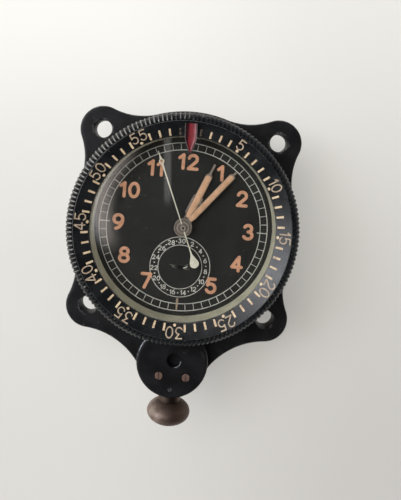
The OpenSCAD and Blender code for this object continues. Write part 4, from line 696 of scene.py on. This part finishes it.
counter_white = printed("counter_white", (0.68, 0.67, 0.63), (0.52, 0.51, 0.47), 0.6, worn=0.68)
COUNT_R, COUNT_HEIGHT, COUNT_PEN = 6.45, 1.2, 0.205
count_print = [paint_line(r, 0.155, COUNTER) for r in (5.45, 7.45)]
count_print += [
    on_dial(number(str(n), COUNT_HEIGHT, COUNT_PEN, 0.14, 0.02), COUNTER + clock_point(COUNT_R, 2.0 * n))
    for n in range(2, 31, 2)
]
dots = clock_point(COUNT_R, 2.0 * np.arange(1, 30, 2))[:, None] + np.linspace([-0.03, 0], [0.03, 0], 4)
count_print += [on_dial(strokes(dots, 0.16, 0.02), COUNTER)]
piece("counter_print", count_print, counter_white, "case")


# The counter's hand is broken off: its hub is painted black out to 0.8 mm from its axis, its stub is bent and bright,
# and the dial's paint is scraped beside it. The frame's solid has the shape.
def off_axis(tree, at=(0.0, 0.0)):
    """Output of the distance from an upright axis through a point given in mm."""
    coords = node(tree, "TexCoord").outputs["Object"]
    flat = vectors("MULTIPLY", vectors("SUBTRACT", coords, (at[0] * MM, at[1] * MM, 0.0)), (1.0, 1.0, 0.0))
    return vectors("LENGTH", flat, out=1)


broken = clouded(
    "broken_hand", (0.78, 0.77, 0.72), (0.50, 0.49, 0.45), 1.2, 6.0, depth=0.01, Metallic=0.2, Roughness=0.45
)
tree = broken.node_tree
over(span(off_axis(tree, COUNTER), 0.8 * MM, 1.0 * MM, 1.0, 0.0), (0.004, 0.004, 0.004))
dress(broken, "counter_hand")
scraped = printed("scraped_dial", (0.30, 0.29, 0.26), (0.16, 0.15, 0.13), 0.5, worn=0.5)
scrapes = [(-2.5, 0.45, -1.2, 0.15), (-1.9, -0.1, -1.1, -0.3), (1.1, 0.35, 1.9, 0.7), (1.3, -0.55, 2.3, -0.35)]
scrapes = strokes([stretch(*s) for s in scrapes], 0.06, 0.012)
piece("counter_scrape", [on_dial(scrapes, COUNTER)], scraped, "case")


# The hour and minute hands: stamped strips of tarnished nickel silver on round bosses with turned rings, their
# openings filled with luminous paint. They are pressed on their tubes, one above the other.
def blade(stations, low, high, angle, soft=0.07):
    """Grid of a flat strip along a clock angle: stations give the distance and half width, the section is a flat
    bar with its upper edges eased."""
    s = closed_ends(stations)
    half = s[:, 1:]
    c = np.minimum(soft, 0.45 * half)
    foot, top = 0 * c + low, 0 * c + high
    side = np.hstack([-half, -half, c - half, half - c, half, half])
    return pointed(s[:, :1], side, np.hstack([foot, top - c, top, top, top - c, foot]), angle)


HAND_T, LUME_LOW, LUME_HIGH = 0.3, 0.25, 0.52
nickel = metal("tarnished_nickel", (0.30, 0.255, 0.22), (0.165, 0.135, 0.115), 0.4, 0.3, 0.8, 0.01)
hand_paint = printed("hand_lume", (0.70, 0.43, 0.275), (0.57, 0.335, 0.205), 0.8, 0.68, 0.5, 0.02)
hour_blade = [(1.2, 0.9), (3.2, 0.9), (3.7, 1.3), (8.4, 1.3), (8.6, 0.9), (14.2, 0.9), (14.8, 0.28), (17.4, 0.28)]
hour_boss = eased([(1.0, 10.7), (2.2, 10.7), (2.2, 11.4), (1.0, 11.4)], [0, 0, 0.1, 0])
hour_fill = [(2.7, 0.546), (3.7, 0.78), (13.8, 0.78), (14.2, 0.39)]
minute_blade = [(1.0, 0.6), (3.0, 0.6), (3.5, 0.8), (17.6, 0.8), (17.9, 0.28), (18.8, 0.224)]
minute_boss = eased(
    [(0.62, 11.5), (2.2, 11.5), (2.2, 12.2), (1.75, 12.2), (1.65, 12.12), (1.45, 12.12), (1.35, 12.2), (0.62, 12.2)],
    [0, 0, 0.1, 0.04, 0.04, 0.04, 0.04, 0],
)
minute_fill = [(2.5, 0.476), (3.3, 0.68), (17.2, 0.68), (17.5, 0.34)]
for hand, angle, z, stations, collar, opening in (
    ("hour", 22.5, 10.9, hour_blade, hour_boss, hour_fill),
    ("minute", 39.4, 11.7, minute_blade, minute_boss, minute_fill),
):
    strip = [blade(stations, z, z + HAND_T, angle), skin(turned(collar, 120), wrap_rows=True)]
    piece(hand + "_hand_strip", strip, nickel, hand + "_hand", [hand + "_hand"])
    lume = filled(opening, z + LUME_LOW, z + LUME_HIGH, angle)
    piece(hand + "_hand_lume", [lume], hand_paint, hand + "_hand", [hand + "_lume"])


# The sweep hand: a thin stamped needle with an eye near its tip and a pear-shaped luminous tail, painted off-white
# and pressed on a turned nickel boss with two rings, a collet and a pivot hole.
SWEEP_ANGLE, SWEEP_LOW, SWEEP_HIGH = 337.6, 12.6, 12.8
bone = printed("bone_paint", (0.80, 0.78, 0.67), (0.66, 0.63, 0.50), 0.6, worn=0.68, coarse=1.0)
needle = [(0.0, 0.11), (14.7, 0.15), (16.3, 0.22), (16.6, 0.38)]
needle_tip = [(17.6, 0.36), (18.3, 0.16), (19.8, 0.05)]
tail = [(0.0, 0.17), (5.4, 0.12), (6.6, 0.2)]
pear = np.sin(np.linspace(0, np.pi / 2, 18))
pear = np.column_stack([6.3 + 3.95 * pear, 1.22 * np.sqrt(np.sin(np.pi * pear**2)) * pear**0.4 + 0.12 * (1 - pear)])
pear[-1, 1] = 0.1
eye = eased([(0.38, SWEEP_LOW), (0.65, SWEEP_LOW), (0.65, SWEEP_HIGH), (0.38, SWEEP_HIGH)], [0, 0, 0.06, 0.06], 4)
collet = eased(
    [(0.0, 12.3), (2.2, 12.3), (2.2, 12.54), (1.9, 12.58), (1.82, 12.4), (1.62, 12.4), (1.55, 12.56), (1.2, 12.56),
     (1.12, 12.4), (0.95, 12.4), (0.95, 12.95), (0.62, 13.0), (0.52, 12.93), (0.34, 12.93), (0.28, 12.5), (0.0, 12.5)],
    [0, 0, 0.06, 0.03, 0.03, 0.03, 0.03, 0.03, 0.03, 0, 0.1, 0.04, 0.04, 0.04, 0.03, 0], 5,
)
sweep = [
    blade(stations, SWEEP_LOW, SWEEP_HIGH, SWEEP_ANGLE - back, 0.05)
    for stations, back in ((needle, 0), (needle_tip, 0), (tail, 180))
]
sweep += [skin(turned(eye, 48, clock_point(17.1, SWEEP_ANGLE / 6.0)), wrap_rows=True)]
sweep += [filled(pear, SWEEP_LOW, SWEEP_HIGH + 0.04, SWEEP_ANGLE - 180)]
piece("sweep_hand_needle", sweep, bone, "sweep_hand", ["chrono_hand"])
turned_nickel = metal("turned_nickel", (0.36, 0.315, 0.28), (0.26, 0.22, 0.19), 0.4, 0.3, 0.8, 0.01)
tree = turned_nickel.node_tree
# Painted shade: dark rings every 0.9 mm out from the axis stand in for the shade in the boss's turned grooves and its
# pivot hole.
rings = maths("PINGPONG", off_axis(tree), 0.45 * MM)
over(span(rings, 0.1 * MM, 0.4 * MM, 1.0, 0.0), (0.165, 0.138, 0.12))
piece("sweep_hand_collet", [turned(collet, 96)], turned_nickel, "sweep_hand")


# The crystal: a thin acrylic dome that passes under the bezel's lip and sits in the neck on its foot. It is clear,
# with fine polishing marks, and lets the light of the lamps through to the dial.
CROWN, DROP, GLASS_T, GLASS_R = 17.7, 2.25, 0.5, 22.3
FOOT_R, FOOT_LOW, FOOT_TOP = 22.85, 14.9, 15.25
acrylic = clouded(
    "clear_acrylic", (0.965, 0.965, 0.95), (0.94, 0.94, 0.915), 0.2, 3.0, Transmission_Weight=1.0, IOR=1.49
)
tree = acrylic.node_tree
clear_glass = tree.nodes["Principled BSDF"]
haze = span(use(tree, grain, 0.2, 3.0)["Cloud"], 0.35, 0.8, 0.01, 0.05)
marks = times(use(tree, scratches, 0.3, 0.4, 0.55)["Line"], 0.06)
tree.links.new(maths("ADD", haze, marks), clear_glass.inputs["Roughness"])
shadow = node(tree, "LightPath").outputs["Is Shadow Ray"]
clear = node(tree, "BsdfTransparent", {"Color": (0.93, 0.93, 0.915)}).outputs[0]
mixed = node(tree, "MixShader", {0: shadow, 1: clear_glass.outputs[0], 2: clear}).outputs[0]
tree.links.new(mixed, tree.nodes["Material Output"].inputs["Surface"])


def dome(r, crown):
    """Profile of a part of a ball at distances from the axis: it falls by DROP from its crown to the glass's edge."""
    radius = (GLASS_R**2 + DROP**2) / (2 * DROP)
    return np.column_stack([r, crown - radius + np.sqrt(radius**2 - r**2)])


glass_r = np.linspace(0, GLASS_R, 30)
foot = [(FOOT_R, FOOT_TOP), (FOOT_R, FOOT_LOW), (GLASS_R, FOOT_LOW)]
glass = np.vstack([dome(glass_r, CROWN), foot, dome(glass_r[::-1], CROWN - GLASS_T)])
piece("crystal_dome", [turned(glass, 240)], acrylic, "case", ["crystal"])


# The bezel: a turned ring that turns on the neck, held by a split wire ring. Its shoulder has a coin edge of 160
# teeth, its sloped face carries the minute scale, and its gloss black is worn to bare metal on the edges.
TEETH, COIN_STEPS, COIN_R, TOOTH_DEPTH = 160, 8, 28.05, 0.26
SLOPE_IN, SLOPE_OUT = (22.25, 15.9), (25.9, 17.4)
bezel_paint = black_paint("bezel_gloss_black", (0.0060, 0.0066, 0.0076), (0.215, 0.21, 0.20), 0.26, 0.42, 0.58)
tree = bezel_paint.node_tree
gloss = span(off_axis(tree), 26.0 * MM, 26.2 * MM, 1.7, 1.22)
tree.links.new(gloss, tree.nodes["Principled BSDF"].inputs["IOR"])
foot = eased([(24.5, 10.9), (24.5, 7.3), (26.8, 7.3), (27.4, 7.9)], [0, 0.1, 0.1, 0.1], 4)
coin = eased(
    [(27.4, 8.0), (COIN_R, 8.5), (COIN_R, 16.3), (26.8, 17.32), (26.2, 17.36), (26.12, 17.05)],
    [0.2, 0.3, 1.1, 0.4, 0.1, 0.05], 6,
)
face = eased(
    [(26.05, 17.05), (25.98, 17.32), SLOPE_OUT, (25.79, 17.355), (22.433, 15.975), SLOPE_IN, (22.25, 15.5),
     (24.5, 15.5), (24.5, 11.9)],
    [0.04, 0.04, 0.06, 0, 0, 0.12, 0.05, 0.1, 0], 3,
)
section = np.vstack([foot, coin, face, groove(84, -84, 6)])
slope = unit(np.gradient(section, axis=0))
normal = np.column_stack([slope[:, 1], -slope[:, 0]])
on_coin = np.zeros(len(section))
on_coin[len(foot) + 2:len(foot) + len(coin) - 3] = 1
turn = np.arange(TEETH * COIN_STEPS) * 2 * np.pi / (TEETH * COIN_STEPS)
tooth = 1 - (0.5 - 0.5 * np.cos(TEETH * turn)) ** 0.75
sunk = section[:, None] - (TOOTH_DEPTH * on_coin[:, None] * tooth)[:, :, None] * normal[:, None]
ring = np.stack([sunk[..., 0] * np.sin(turn), sunk[..., 0] * np.cos(turn), sunk[..., 1]], -1)
bezel = piece("bezel_ring", [skin(ring, wrap_rows=True)], bezel_paint, "bezel", ["bezel"], crease=40)


def bezel_wear(x, y, z):
    """Worn paint of the bezel and painted highlights on its teeth: the teeth's tops are worn bare, and brighter at the
    upper left and at the teeth's ends as a painted highlight; the rim beside them and the lip of the opening are worn."""
    r, turn = np.hypot(x, y), np.arctan2(x, y)
    crest = np.clip(-0.2 - 1.7 * np.cos(TEETH * turn), 0, 1) * (r > 26.08) * (z > 14.8)
    ends = np.maximum(1 - np.abs(r - 26.3) / 0.3, 1 - np.abs(r - 27.6) / 0.4)
    tops = np.maximum(0.3 + 0.62 * np.clip(np.cos(turn + 1.1), 0, 1) ** 1.4, 0.47 * np.clip(ends, 0, 1) + 0.05)
    rim = np.maximum(0.75 - np.abs(r - 25.95) / 0.12, 0.8 - np.abs(r - 22.3) / 0.15) * (z > 15.6)
    return np.maximum(tops * crest, rim)


set_wear(bezel, bezel_wear)


# The bezel's scale: numbers every five minutes with a dot under each, and a bar for every other minute, filled
# with cream and tan paint. The bars beside the marker are filled with a dark brown.
CONE = math.atan2(SLOPE_OUT[1] - SLOPE_IN[1], SLOPE_OUT[0] - SLOPE_IN[0])
NUMBER_R, BAR_R, DOT_R = 24.4, 23.4, 22.75
SCALE_HEIGHT, SCALE_PEN, BAR_HALF = 2.8, 0.31, 0.245


def on_slope(grid, radius, minute):
    """Wraps a flat grid (right, up, height) on the bezel's cone: right runs clockwise, up runs outwards along the
    slope, height stands on it. A minute gives the place round the ring, a radius the middle."""
    right, up, high = np.moveaxis(grid, -1, 0)
    a = minute * np.pi / 30 + right / radius
    r = radius + up * math.cos(CONE) - high * math.sin(CONE)
    z = SLOPE_IN[1] + (radius - SLOPE_IN[0]) * math.tan(CONE) + up * math.sin(CONE) + high * math.cos(CONE)
    return np.stack([r * np.sin(a), r * np.cos(a), z], -1)


cream = printed("scale_cream", (0.62, 0.49, 0.33), (0.44, 0.32, 0.20), 0.55, worn=0.58, coarse=0.9)
tan = printed("scale_tan", (0.42, 0.335, 0.245), (0.29, 0.22, 0.155), 0.55, worn=0.58, coarse=0.9)
dim = printed("scale_dim", (0.16, 0.12, 0.09), (0.06, 0.05, 0.045), 0.5, worn=0.45)
fives, dark_bars = range(5, 60, 5), (1, 59)
scale_numbers = [
    on_slope(number(str(m).replace("3", "f"), SCALE_HEIGHT, SCALE_PEN, 0.4, 0.03, 0.92), NUMBER_R, m) for m in fives
]
piece("scale_numbers", scale_numbers, tan, "bezel")
bar = strokes(np.linspace([0, -0.88], [0, 0.88], 4)[None], BAR_HALF, 0.03, blunt=True)
dot = strokes(np.linspace([-0.04, 0], [0.04, 0], 4)[None], 0.33, 0.05)
marks = [on_slope(bar, BAR_R, m) for m in range(60) if m % 5 and m not in dark_bars]
marks += [on_slope(dot, DOT_R, m) for m in fives]
piece("scale_bars", marks, cream, "bezel")
piece("scale_dark_bars", [on_slope(bar, BAR_R, m) for m in dark_bars], dim, "bezel")


# The marker: a bent steel strip riveted on the bezel's rim that reaches over the crystal, dished along its middle
# and filled with deep red enamel between bare grey edges.
MARKER_LEAN, ROOT_OUT, ROOT_IN, ROOT_HALF = 0.045, 25.35, 22.75, 1.3
marker_shape = [
    (ROOT_OUT, 1.45), (22.2, 1.45), (21.5, 1.36), (20.6, 1.1), (19.7, 0.78), (18.9, 0.46), (18.4, 0.24), (18.15, 0.1)
]


def tongue(low, edge_z, top, shrink):
    """Grid of the marker along +y: its shape gives y and half width; across it the top runs from its edge's height
    to its middle's as a part of an ellipse, and its tip leans aside by a share of its reach."""
    s = closed_ends([(y, max(half - shrink, 0.02)) for y, half in marker_shape])
    share = np.concatenate([[-1], np.sin(np.linspace(-1, 1, 11) * np.pi / 2), [1]])
    z = edge_z + (top - edge_z) * np.sqrt(np.maximum(1 - share**2, 0))
    z[[0, -1]] = low
    x = s[:, 1:] * share
    y = s[:, :1] + 0 * x
    return np.stack([x + MARKER_LEAN * (ROOT_OUT - y), y, np.broadcast_to(z, x.shape)], -1)


def run_along(tree, way, coords="Object"):
    """Output of how far a place, or in the world a ray's direction, runs along a way."""
    return vectors("DOT_PRODUCT", node(tree, "TexCoord").outputs[coords], way, 1)


strip_steel = metal("marker_strip_steel", (0.34, 0.32, 0.31), (0.16, 0.15, 0.14), 0.4, 0.4)
marker_red = clouded(
    "marker_red_enamel", (0.175, 0.013, 0.020), (0.115, 0.009, 0.014), 0.6, 5.0, (), (0.35, 0.7),
    (0.3, 0.7, 0.28, 0.42), depth=0.008, Coat_Weight=0.4, Coat_Roughness=0.15,
)
tree = marker_red.node_tree
# Painted shade: the enamel darkens over its left part, the dished strip's flank that faces away from the window's
# light.
over(span(run_along(tree, (1.0, 0.0, 0.0)), -0.2 * MM, -0.6 * MM), (0.020, 0.004, 0.006))
over(use(tree, scratches, 0.2, 1.2, 0.5)["Line"], (0.45, 0.2, 0.2), 0.4)
root = [(ROOT_IN, -ROOT_HALF), (ROOT_OUT, -ROOT_HALF), (ROOT_OUT, ROOT_HALF), (ROOT_IN, ROOT_HALF)]
root_low = np.array([[x, y, 16.15 + 0.411 * (y - ROOT_IN)] for y, x in root])
root_top = np.array([[x, y, 17.6] for y, x in root])
block = np.stack([np.tile(root_low.mean(0), (4, 1)), root_low, root_top, np.tile(root_top.mean(0), (4, 1))])
piece("marker_strip", [tongue(17.5, 18.1, 17.66, 0.0), block], strip_steel, "bezel", ["red_marker"])
piece("marker_enamel", [tongue(17.55, 18.04, 17.76, 0.2)], marker_red, "bezel")


# The knob: a turned, oblate knob of brown bronze, darker towards its right as a painted shade, on a collar with a brown
# oxide that slides in the chin.
KNOB_FACE, KNOB_HALF, KNOB_R = 45.0, 3.05, 5.5
swell = np.radians(np.linspace(-63, 90, 48))
knob_curve = np.column_stack([KNOB_R * np.cos(swell) ** 0.9, KNOB_FACE + KNOB_HALF + KNOB_HALF * np.sin(swell)])
knob_curve = np.vstack([[(0, knob_curve[0, 1])], knob_curve])
bronze = metal("bronze_with_painted_shade", (0.40, 0.32, 0.275), (0.21, 0.15, 0.12), 0.5, 0.8, 0.22, 0.01, (0.36, 0.62))
tree = bronze.node_tree
# Painted shade: the bronze darkens from 4.5 mm left of the axis to 1.5 mm right of it, the side away from the window.
over(span(run_along(tree, (1.0, 0.0, 0.0)), -4.5 * MM, 1.5 * MM), (0.115, 0.076, 0.060))
piece("winding_knob", [laid(turned(knob_curve, 160))], bronze, "knob", ["knob"])
oxide = metal("collar_oxide", (0.14, 0.10, 0.08), (0.07, 0.05, 0.04), 0.5)
collar = eased(
    [(0.8, 37.4), (2.2, 37.4), (2.2, 43.7), (2.85, 43.7), (2.85, 45.3), (0.8, 45.3)], [0, 0.2, 0.05, 0.15, 0.15, 0]
)
collar = skin(laid(turned(collar, 96)), wrap_rows=True)
piece("knob_collar", [collar], oxide, "push_sleeve", ["push_sleeve"])


# The table, the light and the camera: the clock lies on its back on a pale table and is seen from straight above.
# A window of two panes stands to the left, the ceiling over the clock is dark but for a slit of light, and two lamps
# that make no glints fill the shade, a strong one from above and a weak one from the right.
VIEW_TURN = math.radians(4.75)
ACROSS = (math.cos(VIEW_TURN), math.sin(VIEW_TURN), 0.0)
ALONG = (-math.sin(VIEW_TURN), math.cos(VIEW_TURN), 0.0)
TABLE_Z, TABLE_HALF = -0.01602, 2.0
table_paint = clouded("pale_table", (0.74, 0.725, 0.70), (0.70, 0.685, 0.66), 0.02, 1.2, Roughness=0.8)
tree = table_paint.node_tree
# Painted light: to the camera and in reflections the table is half its lit paint and half a glow that fades from bright
# at the upper left to dark at the lower right, as the room's light falls off.
aside = maths("POWER", span(run_along(tree, ACROSS), -0.058, 0.062), 1.5)
ahead = maths("POWER", span(run_along(tree, ALONG), 0.066, -0.085), 0.6)
pale = maths("ADD", times(aside, 0.36), times(ahead, 0.64))
sheen = blend(pale, (1.10, 1.09, 1.03), (0.33, 0.315, 0.29))
glow = node(tree, "Emission", {"Color": sheen, "Strength": 1.0}).outputs[0]
ray = node(tree, "LightPath").outputs
seen = maths("MAXIMUM", ray["Is Glossy Ray"], ray["Is Transmission Ray"])
share = times(maths("MAXIMUM", ray["Is Camera Ray"], seen), 0.5)
lit = node(tree, "MixShader", {0: share, 1: tree.nodes["Principled BSDF"].outputs[0], 2: glow}).outputs[0]
tree.links.new(lit, tree.nodes["Material Output"].inputs["Surface"])
table = bpy.data.meshes.new("table")
corners = [(x * TABLE_HALF, y * TABLE_HALF, TABLE_Z) for x, y in ((-1, -1), (1, -1), (1, 1), (-1, 1))]
table.from_pydata(corners, [], [(0, 1, 2, 3)])
table.materials.append(table_paint)
table = placed("table", table)

for name, watts, size, at, colour in (
    ("room_fill", 11.3, 0.9, (-0.35, 0.3, 1.0), (1.0, 0.98, 0.95)),
    ("far_wall", 2.2, 0.5, (0.7, -0.15, 0.4), (1.0, 0.97, 0.93)),
):
    light = bpy.data.lights.new(name, "AREA")
    light.energy, light.size, light.color = watts, size, colour
    fill = placed(name, light)
    fill.location = at
    fill.rotation_euler = (math.atan2(math.hypot(at[0], at[1]), at[2]), 0, math.atan2(at[0], -at[1]))
    fill.visible_glossy = fill.visible_transmission = False

WINDOW, PANE_TURN = math.radians(174), math.radians(8)
world = bpy.data.worlds.new("room")
world.use_nodes = True
tree = world.node_tree
window_ways = [(math.cos(a), math.sin(a), 0.0) for a in (WINDOW, WINDOW - PANE_TURN)]
ways = [(0.0, 0.0, 1.0), ACROSS, ALONG] + window_ways
height, across, along, towards, aslant = (run_along(tree, way, "Generated") for way in ways)
level = maths("MAXIMUM", maths("SUBTRACT", 1.0, times(height, height)), 0.0001)
level = maths("SQRT", level)
bearing, low_bearing = (maths("DIVIDE", way, level) for way in (towards, aslant))
low_sky = times(span(height, 0.66, 0.30, 0.035, 0.6), span(towards, -0.9, 0.7, 0.2, 1.25))
high_pane = times(span(height, 0.915, 0.855), span(bearing, 0.72, 0.95, 0.0, 2.8))
low_pane = span(low_bearing, 0.72, 0.95, 0.0, 2.0)
low_pane = maths("ADD", low_pane, span(low_bearing, 0.94, 0.995, 0.0, 3.2))
low_pane = times(low_pane, span(height, 0.45, 0.6))
raised = span(height, 0.82, 0.86)
lowered = maths("SUBTRACT", 1.0, raised)
window = maths("ADD", times(high_pane, raised), times(low_pane, lowered))
daylight = blend(raised, (0.90, 0.96, 1.06), (1.08, 0.97, 0.91))
slit = span(maths("ABSOLUTE", maths("ADD", across, 0.118)), 0.032, 0.008)
slit = times(slit, times(span(along, 0.0, 0.1), span(height, 0.85, 0.9)))
sky = {"Color": (1.0, 0.98, 0.95), "Strength": maths("ADD", low_sky, slit)}
sky, panes = (node(tree, "Background", i).outputs[0] for i in (sky, {"Color": daylight, "Strength": window}))
room = node(tree, "AddShader", {0: sky, 1: panes}).outputs[0]
tree.links.new(room, tree.nodes["World Output"].inputs["Surface"])
bpy.context.scene.world = world

view = bpy.data.cameras.new("photo_view")
view.lens, view.shift_x, view.shift_y = 37.47, 0.0077, -0.1770
view.clip_start, view.clip_end = 0.005, 20.0
camera = placed("photo_view", view)
camera.location = (0.0020, 0.01647, 0.140)
camera.rotation_euler = (0, 0, VIEW_TURN)
bpy.context.scene.camera = camera
bpy.context.scene.view_settings.view_transform = "Standard"
